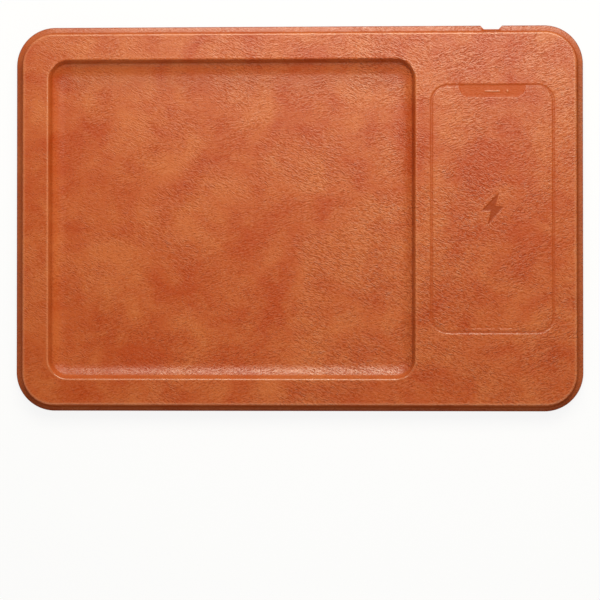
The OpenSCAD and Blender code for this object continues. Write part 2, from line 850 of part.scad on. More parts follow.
// least gap of the wire to itself, measured on the path's points and on the points midway
wire_points = [for (i = [0:len(wire_path) - 2]) each [wire_path[i], (wire_path[i] + wire_path[i + 1]) / 2]];
wire_gap = min([for (i = [0:len(wire_points) - 1], j = [i + 14:1:len(wire_points) - 1])
    norm(wire_points[i] - wire_points[j])]) - wire_d;
echo(least_wire_gap = wire_gap);

// A six-sided tube along a path
module tube(path, r) {
    n = len(path);
    sides = 6;
    points = [for (i = [0:n - 1]) let (
            d0 = path[min(i + 1, n - 1)] - path[max(i - 1, 0)],
            d = d0 / norm(d0),
            u0 = cross(d, [0, 0, 1]),
            u = u0 / norm(u0),
            v = cross(u, d))
        for (k = [0:sides - 1]) path[i] + r * (cos(60 * k) * u + sin(60 * k) * v)];
    walls = [for (i = [0:n - 2], k = [0:sides - 1])
        let (a = i * sides + k, b = i * sides + (k + 1) % sides)
            each [[a, b, b + sides], [a, b + sides, a + sides]]];
    caps = [[for (k = [0:sides - 1]) sides - 1 - k], [for (k = [0:sides - 1]) (n - 1) * sides + k]];
    polyhedron(points = points, faces = concat(walls, caps));
}

module transmit_coil() {
    color([0.75, 0.4, 0.2])
        translate([phone_x, phone_y, 0])
            tube(wire_path, wire_d / 2);
}

// Solder over the wire's two ends on the board
module lead_solder() {
    channel_w = wire_d + seat_gap;
    color([0.7, 0.7, 0.72])
        for (s = [-1, 1])
            translate([phone_x + s * pad_x, pad_y, part_z])
                difference() {
                    cylinder(d = solder_d, h = wire_d + 2 * seat_gap + root_depth);
                    translate([-channel_w / 2, -solder_d, -past])
                        cube([channel_w, solder_d + seat_gap, wire_d + past + seat_gap]);
                }
}

module coil_film() {
    color([0.85, 0.6, 0.2])
        translate([phone_x, phone_y, film_z])
            cylinder(r = coil_out_r + wire_d, h = film_t);
}

// The ferrite, with the window where the inner lead dives and the slot where it leaves
module ferrite_plate() {
    color([0.2, 0.2, 0.21])
        translate([phone_x, phone_y, 0])
            difference() {
                translate([0, 0, ferrite_z])
                    linear_extrude(height = ferrite_t)
                        round_rect(ferrite_w, ferrite_w, ferrite_r);
                translate([window_x, window_y, ferrite_z - past])
                    cylinder(r = window_r, h = ferrite_t + 2 * past);
                translate([-coil_in_r - slot_w / 2, window_y, ferrite_z - past])
                    cube([slot_w, ferrite_w, ferrite_t + 2 * past]);
            }
}

module shield_sheet() {
    color([0.8, 0.8, 0.82])
        translate([phone_x, phone_y, shield_z])
            linear_extrude(height = shield_t)
                round_rect(ferrite_w, ferrite_w, ferrite_r);
}

// A plate with a rim round the ferrite; the rim is open where the inner lead leaves
module coil_carrier() {
    rim_top = ferrite_z + ferrite_t - wire_d / 2;
    rim_w = carrier_in_w + 2 * carrier_rim;
    color([0.16, 0.16, 0.17])
        translate([phone_x, phone_y, 0])
            difference() {
                union() {
                    translate([0, 0, carrier_z])
                        linear_extrude(height = carrier_t)
                            round_rect(carrier_w, carrier_w, carrier_edge);
                    translate([0, 0, carrier_top - root_depth])
                        linear_extrude(height = rim_top - carrier_top + root_depth)
                            difference() {
                                round_rect(rim_w, rim_w, ferrite_r + fit_gap + carrier_rim);
                                round_rect(carrier_in_w, carrier_in_w, ferrite_r + fit_gap);
                            }
                }
                translate([-coil_in_r - slot_w / 2, 0, carrier_top])
                    cube([slot_w, carrier_w, rim_top]);
                for (x = [-1, 1], y = [-1, 1])
                    translate([x * carrier_screw, y * carrier_screw, carrier_z - past])
                        cylinder(d = small_screw_d + 2 * screw_gap, h = carrier_t + 2 * past);
            }
}

module carrier_screws() {
    color([0.6, 0.6, 0.62])
        for (x = [-1, 1], y = [-1, 1])
            translate([phone_x + x * carrier_screw, phone_y + y * carrier_screw, carrier_z])
                pan_screw(small_screw_d, small_head_d, small_head_h, carrier_t + small_grip);
}

module foam_pad() {
    color([0.3, 0.3, 0.32])
        translate([phone_x - foam_w / 2, phone_y - foam_w / 2, plate_top])
            cube([foam_w, foam_w, carrier_z - plate_top]);
}

cover_leather();
top_shell();
base_plate();
base_leather();
foot_front_left();
foot_front_right();
foot_back_left();
foot_back_right();
case_screws();
port_bezel();
usb_shell();
usb_tongue();
usb_contacts();
circuit_board();
board_screws();
controller_chip();
bridge_transistors();
power_inductor();
resonant_capacitors();
input_capacitors();
chip_resistors();
transmit_coil();
lead_solder();
coil_film();
ferrite_plate();
shield_sheet();
coil_carrier();
carrier_screws();
foam_pad();
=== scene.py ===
import json
import math

import bmesh
import bpy
from mathutils import Matrix, Quaternion, Vector, noise
from mathutils.geometry import delaunay_2d_cdt


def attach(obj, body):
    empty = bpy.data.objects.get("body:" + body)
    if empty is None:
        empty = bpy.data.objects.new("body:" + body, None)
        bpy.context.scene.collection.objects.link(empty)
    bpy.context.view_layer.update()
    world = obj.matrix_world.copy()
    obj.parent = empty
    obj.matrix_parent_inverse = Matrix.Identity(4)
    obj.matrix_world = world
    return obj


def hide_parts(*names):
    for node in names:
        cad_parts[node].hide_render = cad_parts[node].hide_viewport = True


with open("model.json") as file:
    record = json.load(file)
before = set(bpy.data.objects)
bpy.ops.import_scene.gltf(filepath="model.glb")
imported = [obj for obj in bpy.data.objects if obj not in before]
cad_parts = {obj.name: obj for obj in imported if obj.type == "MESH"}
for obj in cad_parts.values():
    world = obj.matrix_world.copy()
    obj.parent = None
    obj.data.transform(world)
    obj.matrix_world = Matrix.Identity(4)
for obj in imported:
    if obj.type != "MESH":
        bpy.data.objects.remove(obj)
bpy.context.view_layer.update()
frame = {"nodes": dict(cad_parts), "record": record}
nodes = frame["nodes"]

# Heights and outline of the tray, in millimetres like every size below
MM = 0.001
BODY_W = 330.0
BODY_D = 224.0
BODY_H = 15.0
CORNER_R = 22.5
COVER_T = 1.2
SHEET_FOOT_Z = 1.5
SHEET_TOP_Z = 2.5
SHEET_EASE_R = 0.3
FLANGE_FOOT_Z = 4.5
FLANGE_TOP_Z = FLANGE_FOOT_Z + COVER_T

# Flange and side wall; the flange falls a little to its rounded rim
FLANGE_W = 3.4
FLANGE_FALL = 0.5
FLANGE_BEND_IN = 1.9
FLANGE_BEND_SHARE = 0.45
RIM_R = 0.6
RIM_END = 96
SIDE_LEAN = math.radians(5)
SIDE_FOOT_R = 1.0
TOP_EDGE_R = 1.5

# The raised part sits a little off the flange's middle, and the flange takes up the difference
RAISED_X = 0.2
RAISED_Y = -0.6
RAISED_NARROW = 0.5
RAISED_FROM = 1.2
RAISED_OVER = FLANGE_W - 1.6

# Recess: a lip, a leaned wall, a tight foot and a wide dish into the floor
TRAY_X = -38.6
TRAY_Y = -0.6
TRAY_W = 212.8
TRAY_D = 184.8
TRAY_CORNER_R = 11.5
TRAY_FLOOR_Z = 9.0
TRAY_FOOT_R = 2.2
TRAY_DISH_R = 15.0
TRAY_DISH_TURN = 27.0
TRAY_EDGE_R = 1.1
TRAY_LEAN = math.radians(24)

# Pressed phone outline, its band with a bar and a dot, its home line, and the bolt
PHONE_X = 112.0
PHONE_Y = 4.9
PHONE_W = 70.0
PHONE_D = 142.2
PHONE_R = 9.4
MARK_W = 1.4
MARK_DEPTH = 0.4
MARK_SOFT = 0.4
MARK_MARGIN = 3
OUTLINE_SHARE = 0.68
BAND_W = 39.0
BAND_LOW_W = 33.4
BAND_D = 6.6
BAND_BEVEL = 1.8
BAND_OVER = 0.6
BAND_MARGIN = 2
BAR_L = 9.2
BAR_W = 0.9
BAR_SOFT = 0.3
DOT_X = 8.7
DOT_D = 1.4
HOME_L = 22.3
HOME_W = 1.0
HOME_IN = 2.6
HOME_SHARE = 0.3
HOME_SOFT = 0.35
BOLT_L = 18.0
BOLT_SHAPE = ((0.196, 0.5), (-0.34, -0.058), (-0.051, -0.067),
              (-0.138, -0.5), (0.34, 0.051), (0.087, 0.093))
BOLT_HALF_W = 9
BOLT_HALF_D = 12
FAR_OUTSIDE = -9

# Cable notch in the rear flange, and the port's hole in the rear wall behind it
NOTCH_MOUTH = 12.6
NOTCH_BOTTOM = 8.6
NOTCH_D = 2.1
NOTCH_REACH = 3.5
PORT_Z = 8.58
PORT_CUT_W = 11.34
PORT_CUT_H = 5.66
PORT_CUT_FROM = 103.0
PORT_CUT_TO = 110.5
PORT_STEPS = 16

# Slow waves of the stretched leather: length along x and y, place in the noise, share
SLACK = 0.07
SLACK_RISE = 8
SLACK_WAVES = ((34, 26, 3.7, 0.6), (15, 11, 8.1, 0.4))
TOP_SLACK = 0.4
TOP_SINK = 0.03

# How closely the mesh is set: places along edges, steps of bends, and loops beside edges
EDGE_STEP = 2.6
BODY_CORNER_STEPS = 26
TRAY_CORNER_STEPS = 22
BEND_STEPS = 7
TOP_STEPS = 12
LIP_STEPS = 9
GRID_STEP = 4.0
MARK_GRID = 0.3
LINE_STEP = 1.1
LINE_CORNER_STEPS = 16
LINE_LOOPS = (-1.5, -1.2, -0.95, -0.7, -0.45, -0.2, 0, 0.2, 0.45, 0.7, 0.95, 1.2, 1.5)
TOP_EDGE_LOOPS = (0.5, 1.1, 2.0)
LIP_LOOPS = (1.2, 1.7, 2.4)
BOLT_PATCH = (14, 20.5)
BAND_PATCH = (BAND_W + 3, BAND_D + 3.4)
HOME_PATCH = (HOME_L + 2, HOME_IN + 3)
GRID_OUTSIDE_PHONE = (37.5, 73.6, 11)
GRID_INSIDE_PHONE = (32.5, 63, 6)
GRID_BESIDE_BOLT = (8.5, 11.5)
NOTCH_STEP = 0.6
NOTCH_HALF_RUN = 9.0
NOTCH_CLEAR = 0.25
NOTCH_BEND = 0.12
RUN_CLEAR = 0.004
HAIR = 0.01
SHARP_ANGLE = 40


# Outlines: a ring of stations round a rounded rectangle
def spread(start, end, step):
    """Even places from start up to, and without, end."""
    count = max(1, round(abs(end - start) / step))
    return [start + (end - start) * k / count for k in range(count)]


def stations(width, depth, radius, x, y, step, arc_steps, extra_back=()):
    """Points round a rounded rectangle, each with the way in from it."""
    hw = width / 2 - radius
    hd = depth / 2 - radius
    found = []
    sides = ((hw, hd, 0), (-hw, hd, 90), (-hw, -hd, 180), (hw, -hd, 270))
    for number, (cx, cy, first) in enumerate(sides):
        for k in range(arc_steps + 1):
            a = math.radians(first + 90 * k / arc_steps)
            c, s = math.cos(a), math.sin(a)
            found.append((x + cx + radius * c, y + cy + radius * s, -c, -s))
        nx, ny, _ = sides[(number + 1) % 4]
        a = math.radians(first + 90)
        c, s = math.cos(a), math.sin(a)
        run = spread(0, 1, step / math.hypot(nx - cx, ny - cy))[1:]
        if number == 0 and extra_back:
            near = [(hw - v) / (2 * hw) for v in extra_back]
            low = min(near) - RUN_CLEAR
            high = max(near) + RUN_CLEAR
            run = sorted([t for t in run if not low < t < high] + near)
        for t in run:
            px = cx + (nx - cx) * t + radius * c
            py = cy + (ny - cy) * t + radius * s
            found.append((x + px, y + py, -c, -s))
    return found


def notch_in(px, py):
    """How far the cable notch cuts into the rear flange at this place."""
    if py < BODY_D / 2 - NOTCH_REACH:
        return 0.0
    off = abs(px - PHONE_X)
    slope = (NOTCH_MOUTH - NOTCH_BOTTOM) / 2
    return NOTCH_D * min(1.0, max(0.0, (NOTCH_MOUTH / 2 - off) / slope))


def at_inset(station, inset, notched):
    """A station's place, moved in by the inset and round the notch."""
    px, py, nx, ny = station
    if notched and inset < NOTCH_REACH:
        cut = notch_in(px, py)
        inset = cut + inset * (1 - cut / NOTCH_REACH)
    return px + inset * nx, py + inset * ny


def arc(cx, cz, radius, first, last, steps):
    """Points [inset, height] along an arc, angles in degrees."""
    out = []
    for k in range(steps + 1):
        a = math.radians(first + (last - first) * k / steps)
        out.append((cx + radius * math.cos(a), cz + radius * math.sin(a)))
    return out


def side_inset(z, inward):
    """Inset of the leaned side wall at height z, moved inward."""
    lean = math.tan(SIDE_LEAN)
    return FLANGE_W + (z - FLANGE_TOP_Z) * lean + inward / math.cos(SIDE_LEAN)


def outer_section():
    """Section of the leather from the flange's foot to the top."""
    lean_deg = math.degrees(SIDE_LEAN)
    rim_z = FLANGE_TOP_Z - FLANGE_FALL
    rim = arc(RIM_R, rim_z - RIM_R, RIM_R, 180, RIM_END, BEND_STEPS)
    bend = (FLANGE_BEND_IN, FLANGE_TOP_Z - FLANGE_FALL * FLANGE_BEND_SHARE)
    foot_z = FLANGE_TOP_Z + SIDE_FOOT_R
    foot_x = side_inset(foot_z, 0) - SIDE_FOOT_R / math.cos(SIDE_LEAN)
    foot = arc(foot_x, foot_z, SIDE_FOOT_R, 270, 360 - lean_deg, BEND_STEPS)
    top_z = BODY_H - TOP_EDGE_R
    top_x = side_inset(top_z, 0) + TOP_EDGE_R / math.cos(SIDE_LEAN)
    top = arc(top_x, top_z, TOP_EDGE_R, 180 - lean_deg, 90, TOP_STEPS)
    (x0, z0), (x1, z1) = foot[-1], top[0]
    wall = [(x0 + (x1 - x0) * t, z0 + (z1 - z0) * t) for t in (0.25, 0.5, 0.75)]
    return [(0.0, FLANGE_FOOT_Z)] + rim + [bend] + foot + wall + top


def tray_section(outward, fine):
    """Section of the recess from its lip to its floor, as insets from the recess's edge."""
    s = TRAY_LEAN
    deg = math.degrees(s)
    turn = 270 - TRAY_DISH_TURN
    step = TRAY_DISH_R - TRAY_FOOT_R
    foot_steps, dish_steps = (16, 12) if fine else (6, 4)
    dish_z = TRAY_FLOOR_Z + TRAY_DISH_R
    foot_z = dish_z + step * math.sin(math.radians(turn))
    foot_x = (TRAY_FOOT_R - (foot_z - BODY_H) * math.sin(s)) / math.cos(s)
    dish_x = foot_x - step * math.cos(math.radians(turn))
    bowl = arc(foot_x, foot_z, TRAY_FOOT_R + outward, 180 + deg, turn, foot_steps)
    bowl += arc(dish_x, dish_z, TRAY_DISH_R + outward, turn, 270, dish_steps)[1:]
    if not fine:
        return [(COVER_T * math.tan(s) - outward / math.cos(s), BODY_H - COVER_T)] + bowl
    ex = TRAY_EDGE_R * (math.sin(s) - 1) / math.cos(s)
    lip = arc(ex, BODY_H - TRAY_EDGE_R, TRAY_EDGE_R, 90, deg, LIP_STEPS)
    return lip + bowl


# The pressed marks: distances into each mark, positive inside it
def in_rounded_box(px, py, half_w, half_d, radius):
    qx = abs(px) - half_w + radius
    qy = abs(py) - half_d + radius
    out = math.hypot(max(qx, 0), max(qy, 0)) + min(max(qx, qy), 0)
    return radius - out


def in_capsule(px, py, length, width):
    along = max(0.0, abs(px) - (length - width) / 2)
    return width / 2 - math.hypot(along, py)


def in_polygon(px, py, corners):
    best = 1e9
    inside = False
    count = len(corners)
    for k in range(count):
        ax, ay = corners[k]
        bx, by = corners[(k + 1) % count]
        ex, ey = bx - ax, by - ay
        t = ((px - ax) * ex + (py - ay) * ey) / (ex * ex + ey * ey)
        t = min(1.0, max(0.0, t))
        best = min(best, math.hypot(px - ax - t * ex, py - ay - t * ey))
        if (ay > py) != (by > py) and px < ax + (py - ay) / (by - ay) * ex:
            inside = not inside
    return best if inside else -best


BAND_SLOPE = (BAND_W - BAND_LOW_W) / 2 * BAND_BEVEL / BAND_D
BAND_SHAPE = (
    (-BAND_W / 2, BAND_OVER), (BAND_W / 2, BAND_OVER), (BAND_W / 2, 0.0),
    (BAND_LOW_W / 2 + BAND_SLOPE, BAND_BEVEL - BAND_D), (BAND_LOW_W / 2 - BAND_BEVEL, -BAND_D),
    (BAND_BEVEL - BAND_LOW_W / 2, -BAND_D), (-BAND_LOW_W / 2 - BAND_SLOPE, BAND_BEVEL - BAND_D),
    (-BAND_W / 2, 0.0))
BOLT_CORNERS = tuple((BOLT_L * px, BOLT_L * py) for px, py in BOLT_SHAPE)


def soft_step(value, soft):
    """Rises smoothly from 0 to 1 while the value goes from minus soft to soft."""
    t = min(1.0, max(0.0, value / (2 * soft) + 0.5))
    return t * t * (3 - 2 * t)


def in_band_bar(px, top):
    """Distance into the small bar or the dot that stand up in the band."""
    bar = in_capsule(px, top + BAND_D / 2, BAR_L, BAR_W)
    return max(bar, DOT_D / 2 - math.hypot(px - DOT_X, top + BAND_D / 2))


def pressed(x, y):
    """How far the hot press pushed the leather in at this place, from 0 to 1."""
    px, py = x - PHONE_X, y - PHONE_Y
    if abs(px) > PHONE_W / 2 + MARK_MARGIN or abs(py) > PHONE_D / 2 + MARK_MARGIN:
        return 0.0
    edge = in_rounded_box(px, py, PHONE_W / 2, PHONE_D / 2, PHONE_R)
    mark = OUTLINE_SHARE * soft_step(MARK_W / 2 - abs(edge), MARK_SOFT)
    top = py - PHONE_D / 2
    if top > -BAND_D - BAND_MARGIN and abs(px) < BAND_W / 2 + BAND_MARGIN:
        band = soft_step(in_polygon(px, top, BAND_SHAPE), MARK_SOFT)
        mark = max(mark, band) * (1 - soft_step(in_band_bar(px, top), BAR_SOFT))
    home = in_capsule(px, py + PHONE_D / 2 - HOME_IN, HOME_L, HOME_W)
    near_bolt = abs(px) < BOLT_HALF_W and abs(py) < BOLT_HALF_D
    bolt = in_polygon(px, py, BOLT_CORNERS) if near_bolt else FAR_OUTSIDE
    return max(mark, HOME_SHARE * soft_step(home, HOME_SOFT), soft_step(bolt, MARK_SOFT))


def slack(x, y, edge):
    """Slow waves of the stretched leather, flat at its edges, in millimetres."""
    wave = 0.0
    for long_x, long_y, layer, share in SLACK_WAVES:
        wave += noise.noise(Vector((x / long_x, y / long_y, layer))) * share
    return SLACK * wave * min(1.0, max(0.0, (edge - 1) / SLACK_RISE))


def out_of_body(x, y):
    """How far a place lies in from the edge of the flange."""
    return in_rounded_box(x, y, BODY_W / 2, BODY_D / 2, CORNER_R)


def out_of_raised(x, y):
    """As out_of_body, for the raised part, which sits a little off the flange's middle."""
    return out_of_body((x - RAISED_X) / (1 - 2 * RAISED_NARROW / BODY_W), y - RAISED_Y)


def raised_place(x, y, share=1.0):
    """Moves a place by its share of how the raised part sits on the flange."""
    return x + (RAISED_X - 2 * RAISED_NARROW * x / BODY_W) * share, y + RAISED_Y * share


def out_of_tray(x, y):
    """How far a place lies in from the edge of the recess, negative outside it."""
    return in_rounded_box(x - TRAY_X, y - TRAY_Y, TRAY_W / 2, TRAY_D / 2, TRAY_CORNER_R)


def mark_points():
    """Close-set points where the pressed marks bend the top."""
    found = []
    round_phone = stations(PHONE_W, PHONE_D, PHONE_R, PHONE_X, PHONE_Y, LINE_STEP, LINE_CORNER_STEPS)
    patches = (
        (PHONE_X, PHONE_Y, *BOLT_PATCH),
        (PHONE_X, PHONE_Y + PHONE_D / 2 - BAND_D / 2, *BAND_PATCH),
        (PHONE_X, PHONE_Y - PHONE_D / 2 + HOME_IN / 2, *HOME_PATCH))
    for station in round_phone:
        for inset in LINE_LOOPS:
            px, py = at_inset(station, inset, False)
            if not any(abs(px - cx) < w / 2 and abs(py - cy) < d / 2 for cx, cy, w, d in patches):
                found.append((px, py))
    for cx, cy, w, d in patches:
        rows = spread(cy - d / 2, cy + d / 2, MARK_GRID)
        columns = spread(cx - w / 2, cx + w / 2, MARK_GRID)
        for j, py in enumerate(rows):
            found += [(px + MARK_GRID / 2 * (j % 2), py) for px in columns]
    return found


def filled(rings, inner_points, keep):
    """Triangles between rings of points, with more points inside, where keep(x, y) holds."""
    points = []
    edges = []
    for ring in rings:
        first = len(points)
        points += [Vector(p[:2]) for p in ring]
        edges += [(first + k, first + (k + 1) % len(ring)) for k in range(len(ring))]
    points += [Vector(p) for p in inner_points]
    out, _, faces, origins, _, _ = delaunay_2d_cdt(points, edges, [], 0, 1e-6)
    kept = []
    for face in faces:
        cx = sum(out[v].x for v in face) / 3
        cy = sum(out[v].y for v in face) / 3
        if keep(cx, cy):
            kept.append(face)
    return out, kept, origins


class LeatherMesh:
    """Collects points and faces in millimetres."""

    def __init__(self):
        self.points = []
        self.faces = []

    def ring(self, around, inset, z, notched=False):
        """One loop of points at an inset and a height."""
        first = len(self.points)
        self.points += [(*at_inset(s, inset, notched), z) for s in around]
        return list(range(first, len(self.points)))

    def band(self, lower, upper, flip=False):
        """Faces between two loops."""
        count = len(lower)
        for k in range(count):
            n = (k + 1) % count
            face = (lower[k], lower[n], upper[n], upper[k])
            self.faces.append(face[::-1] if flip else face)

    def sweep(self, around, section, notched=False):
        """Loops along a section, joined by faces."""
        rings = [self.ring(around, inset, z, notched) for inset, z in section]
        for lower, upper in zip(rings, rings[1:]):
            self.band(lower, upper)
        return rings

    def shift(self, ring, share):
        """Moves a loop by its share of how the raised part sits."""
        for v in ring:
            x, y, z = self.points[v]
            self.points[v] = (*raised_place(x, y, share), z)

    def fill(self, rings, inner_points, keep, height, flip=False):
        """Triangles between loops, with inner points at their own heights."""
        flat = [[self.points[v] for v in ring] for ring in rings]
        out, faces, origins = filled(flat, inner_points, keep)
        known = [v for ring in rings for v in ring]
        place = []
        for k, p in enumerate(out):
            old = [o for o in origins[k] if o < len(known)]
            if old:
                place.append(known[old[0]])
            else:
                self.points.append((p.x, p.y, height(p.x, p.y)))
                place.append(len(self.points) - 1)
        for face in faces:
            face = [place[v] for v in face]
            self.faces.append(tuple(face[::-1] if flip else face))

    def made(self, name):
        """The object, in metres, without the points that no face uses."""
        mesh = bpy.data.meshes.new(name)
        mesh.from_pydata([[c * MM for c in p] for p in self.points], [], self.faces)
        work = bmesh.new()
        work.from_mesh(mesh)
        unused = [v for v in work.verts if not v.link_faces]
        bmesh.ops.delete(work, geom=unused, context="VERTS")
        bmesh.ops.recalc_face_normals(work, faces=work.faces)
        work.to_mesh(mesh)
        work.free()
        piece = bpy.data.objects.new(name, mesh)
        bpy.context.scene.collection.objects.link(piece)
        return piece


def back_stations():
    """Close-set places along the rear edge, at the notch and the port."""
    bends = [NOTCH_MOUTH / 2, NOTCH_BOTTOM / 2]
    places = spread(-NOTCH_HALF_RUN, NOTCH_HALF_RUN, NOTCH_STEP) + [NOTCH_HALF_RUN]
    places = [v for v in places if min(abs(abs(v) - bend) for bend in bends) > NOTCH_CLEAR]
    for bend in bends:
        for near in (-NOTCH_BEND, 0.0, NOTCH_BEND):
            places += [bend + near, -bend - near]
    return sorted(PHONE_X + v for v in places)


ROUND_BODY = stations(BODY_W, BODY_D, CORNER_R, 0, 0, EDGE_STEP, BODY_CORNER_STEPS, back_stations())
ROUND_TRAY = stations(TRAY_W, TRAY_D, TRAY_CORNER_R, TRAY_X, TRAY_Y, EDGE_STEP, TRAY_CORNER_STEPS)


def port_cutter():
    """An oblong rod that cuts the port's hole in the rear wall."""
    work = bmesh.new()
    r = PORT_CUT_H / 2
    half = PORT_CUT_W / 2 - r
    rim = []
    for side, first in ((half, -90), (-half, 90)):
        for k in range(PORT_STEPS + 1):
            a = math.radians(first + 180 * k / PORT_STEPS)
            rim.append((PHONE_X + side + r * math.cos(a), PORT_Z + r * math.sin(a)))
    near = [work.verts.new((x * MM, PORT_CUT_FROM * MM, z * MM)) for x, z in rim]
    far = [work.verts.new((x * MM, PORT_CUT_TO * MM, z * MM)) for x, z in rim]
    for k in range(len(rim)):
        n = (k + 1) % len(rim)
        work.faces.new((near[k], near[n], far[n], far[k]))
    work.faces.new(near[::-1])
    work.faces.new(far)
    bmesh.ops.recalc_face_normals(work, faces=work.faces)
    mesh = bpy.data.meshes.new("port_cutter")
    work.to_mesh(mesh)
    work.free()
    cutter = bpy.data.objects.new("port_cutter", mesh)
    bpy.context.scene.collection.objects.link(cutter)
    return cutter


def cut_out(piece, cutter):
    """Cuts one shape out of a piece and keeps the result as its mesh."""
    cut = piece.modifiers.new("cut", "BOOLEAN")
    cut.operation = "DIFFERENCE"
    cut.object = cutter
    cut.solver = "EXACT"
    seen = bpy.context.evaluated_depsgraph_get()
    fresh = bpy.data.meshes.new_from_object(piece.evaluated_get(seen))
    piece.modifiers.clear()
    old = piece.data
    piece.data = fresh
    bpy.data.meshes.remove(old)
    bpy.data.objects.remove(cutter)


def smooth_with_sharp(piece, degrees):
    """Smooth shading, with a hard line where faces meet at a larger angle."""
    work = bmesh.new()
    work.from_mesh(piece.data)
    for face in work.faces:
        face.smooth = True
    limit = math.radians(degrees)
    for edge in work.edges:
        edge.smooth = len(edge.link_faces) == 2 and edge.calc_face_angle(0) < limit
    work.to_mesh(piece.data)
    work.free()


def bell(value, middle, width):
    """One at the middle, and about a third one width away from it."""
    return math.exp(-((value - middle) / width) ** 2)


# Zones of painted light on the leather, with share, reach and softness: painted highlight on the
# recess's front and left lip and front wall, less on its rear lip; painted shade on its right wall and
# right and rear dishes; painted light on the right flange towards the rear; the matt zones only take
# gloss away
HIGHLIGHT_FRONT = (1.0, 7, 4.0)
HIGHLIGHT_LEFT = (0.3, 6, 4.0)
LESS_HIGHLIGHT_REAR = (0.5, 4, 4.0)
PAINTED_SHADE_RIGHT_WALL = (0.6, 8, 6.0)
PAINTED_SHADE_RIGHT_DISH = (0.45, 5, 4.0)
PAINTED_SHADE_REAR_DISH = (0.55, 14, 9.0)
MATT_LEFT_DISH = (0.6, 10, 5.0)
MATT_FRONT_FLANGE = (0.75, 16, 12.0)
PAINTED_LIGHT_RIGHT_FLANGE = (0.55, 6, 4.0)
PAINTED_LIGHT_TO_REAR = (1.0, 20, 60.0)

# Bands of the section where shade and highlight are painted, and where the left dish is made matt:
# middle and width
FOOT_BAND = (FLANGE_W - 0.3, 1.0)
EDGE_HEIGHT = (BODY_H - 0.2, 0.6)
EDGE_BAND = (-0.4, 0.5)
LIP_BAND = (-0.3, 0.6)
WALL_BAND = (1.5, 1.0)
DISH_BAND = (4.0, 3.0)

# Shares of the rest, painted highlight and painted shade among them, and the places where one part of
# the sheet ends
LIP_HIGHLIGHT = 0.55
LIP_FRONT_HIGHLIGHT = 0.4
WALL_FRONT_HIGHLIGHT = 0.5
WALL_PAINTED_SHADE = 0.35
DISH_FROM = 0.5
DISH_SPARED = 0.5
LINE_PAINTED_SHADE = 0.5
FOOT_PAINTED_SHADE = 1.3
FLANGE_SKIN = 0.1
FLANGE_MARGIN = 0.2
LIT_MARGIN = 0.9
LOW_WALL = 2.2
TOP_SKIN = 0.6
PHONE_IN = 8
STEEP_IN = 1.0
STEEP_SOFT = 0.5
STEEP_TOP = 0.45
STEEP_TOP_SOFT = 0.15
SIDE_MARGIN = 0.3
CUT_IN = 0.45
CUT_SOFT = 0.3
CUT_FROM_Z = 5.0


def near(distance, zone):
    """A zone's share, full within its reach and fading softly past it."""
    share, reach, soft = zone
    return share * soft_step(reach - distance, soft)


def recess_light_and_shade(x, y, z):
    """Painted highlight on the recess's lip and front wall, painted shade on its walls and dishes, and
    how matt its left dish is, at one place.
    """
    dip = out_of_tray(x, y)
    to_left = x - TRAY_X + TRAY_W / 2
    to_right = TRAY_X + TRAY_W / 2 - x
    to_front = y - TRAY_Y + TRAY_D / 2
    to_rear = TRAY_Y + TRAY_D / 2 - y
    front_highlight = near(to_front, HIGHLIGHT_FRONT)
    wall = bell(dip, *WALL_BAND)
    # painted highlight on the lip, strongest at the front and left and least at the rear, and on the
    # front wall
    share = LIP_HIGHLIGHT + LIP_FRONT_HIGHLIGHT * front_highlight + near(to_left, HIGHLIGHT_LEFT) - near(to_rear, LESS_HIGHLIGHT_REAR)
    painted_highlight = share * bell(z, *EDGE_HEIGHT) * bell(dip, *LIP_BAND) + WALL_FRONT_HIGHLIGHT * wall * front_highlight
    # painted shade on the recess's walls, darkest on the right wall, none on the front wall
    shade = (WALL_PAINTED_SHADE + near(to_right, PAINTED_SHADE_RIGHT_WALL)) * wall * (1 - front_highlight)
    # painted shade reaching into the rear and right dishes
    if dip > DISH_FROM:
        dim = max(near(to_rear, PAINTED_SHADE_REAR_DISH), near(to_right, PAINTED_SHADE_RIGHT_DISH))
        shade = max(shade, dim * (1 - DISH_SPARED * wall))
    matt = bell(dip, *DISH_BAND) * near(to_left, MATT_LEFT_DISH)
    return painted_highlight, shade, matt


def phone_marks_and_shade(x, y, z, inset):
    """The pressed mark and bolt, the raised bar, and the painted shade along the outline's groove at one
    place; no outline is None.
    """
    if z <= BODY_H - TOP_SKIN:
        return 0.0, 0.0, 0.0, None
    px, py = x - PHONE_X, y - PHONE_Y
    mark = pressed(x, y) if inset > PHONE_IN else 0.0
    bar = soft_step(in_band_bar(px, py - PHONE_D / 2), BAR_SOFT)
    bolt = 0.0
    line = None
    if mark > 0:
        rim = abs(in_rounded_box(px, py, PHONE_W / 2, PHONE_D / 2, PHONE_R))
        # painted shade in the outline's groove
        if rim < MARK_W:
            line = LINE_PAINTED_SHADE * soft_step(MARK_W / 2 - rim, MARK_SOFT)
        if abs(px) < BOLT_HALF_W and abs(py) < BOLT_HALF_D:
            bolt = soft_step(in_polygon(px, py, BOLT_CORNERS), MARK_SOFT)
    return mark, bolt, bar, line


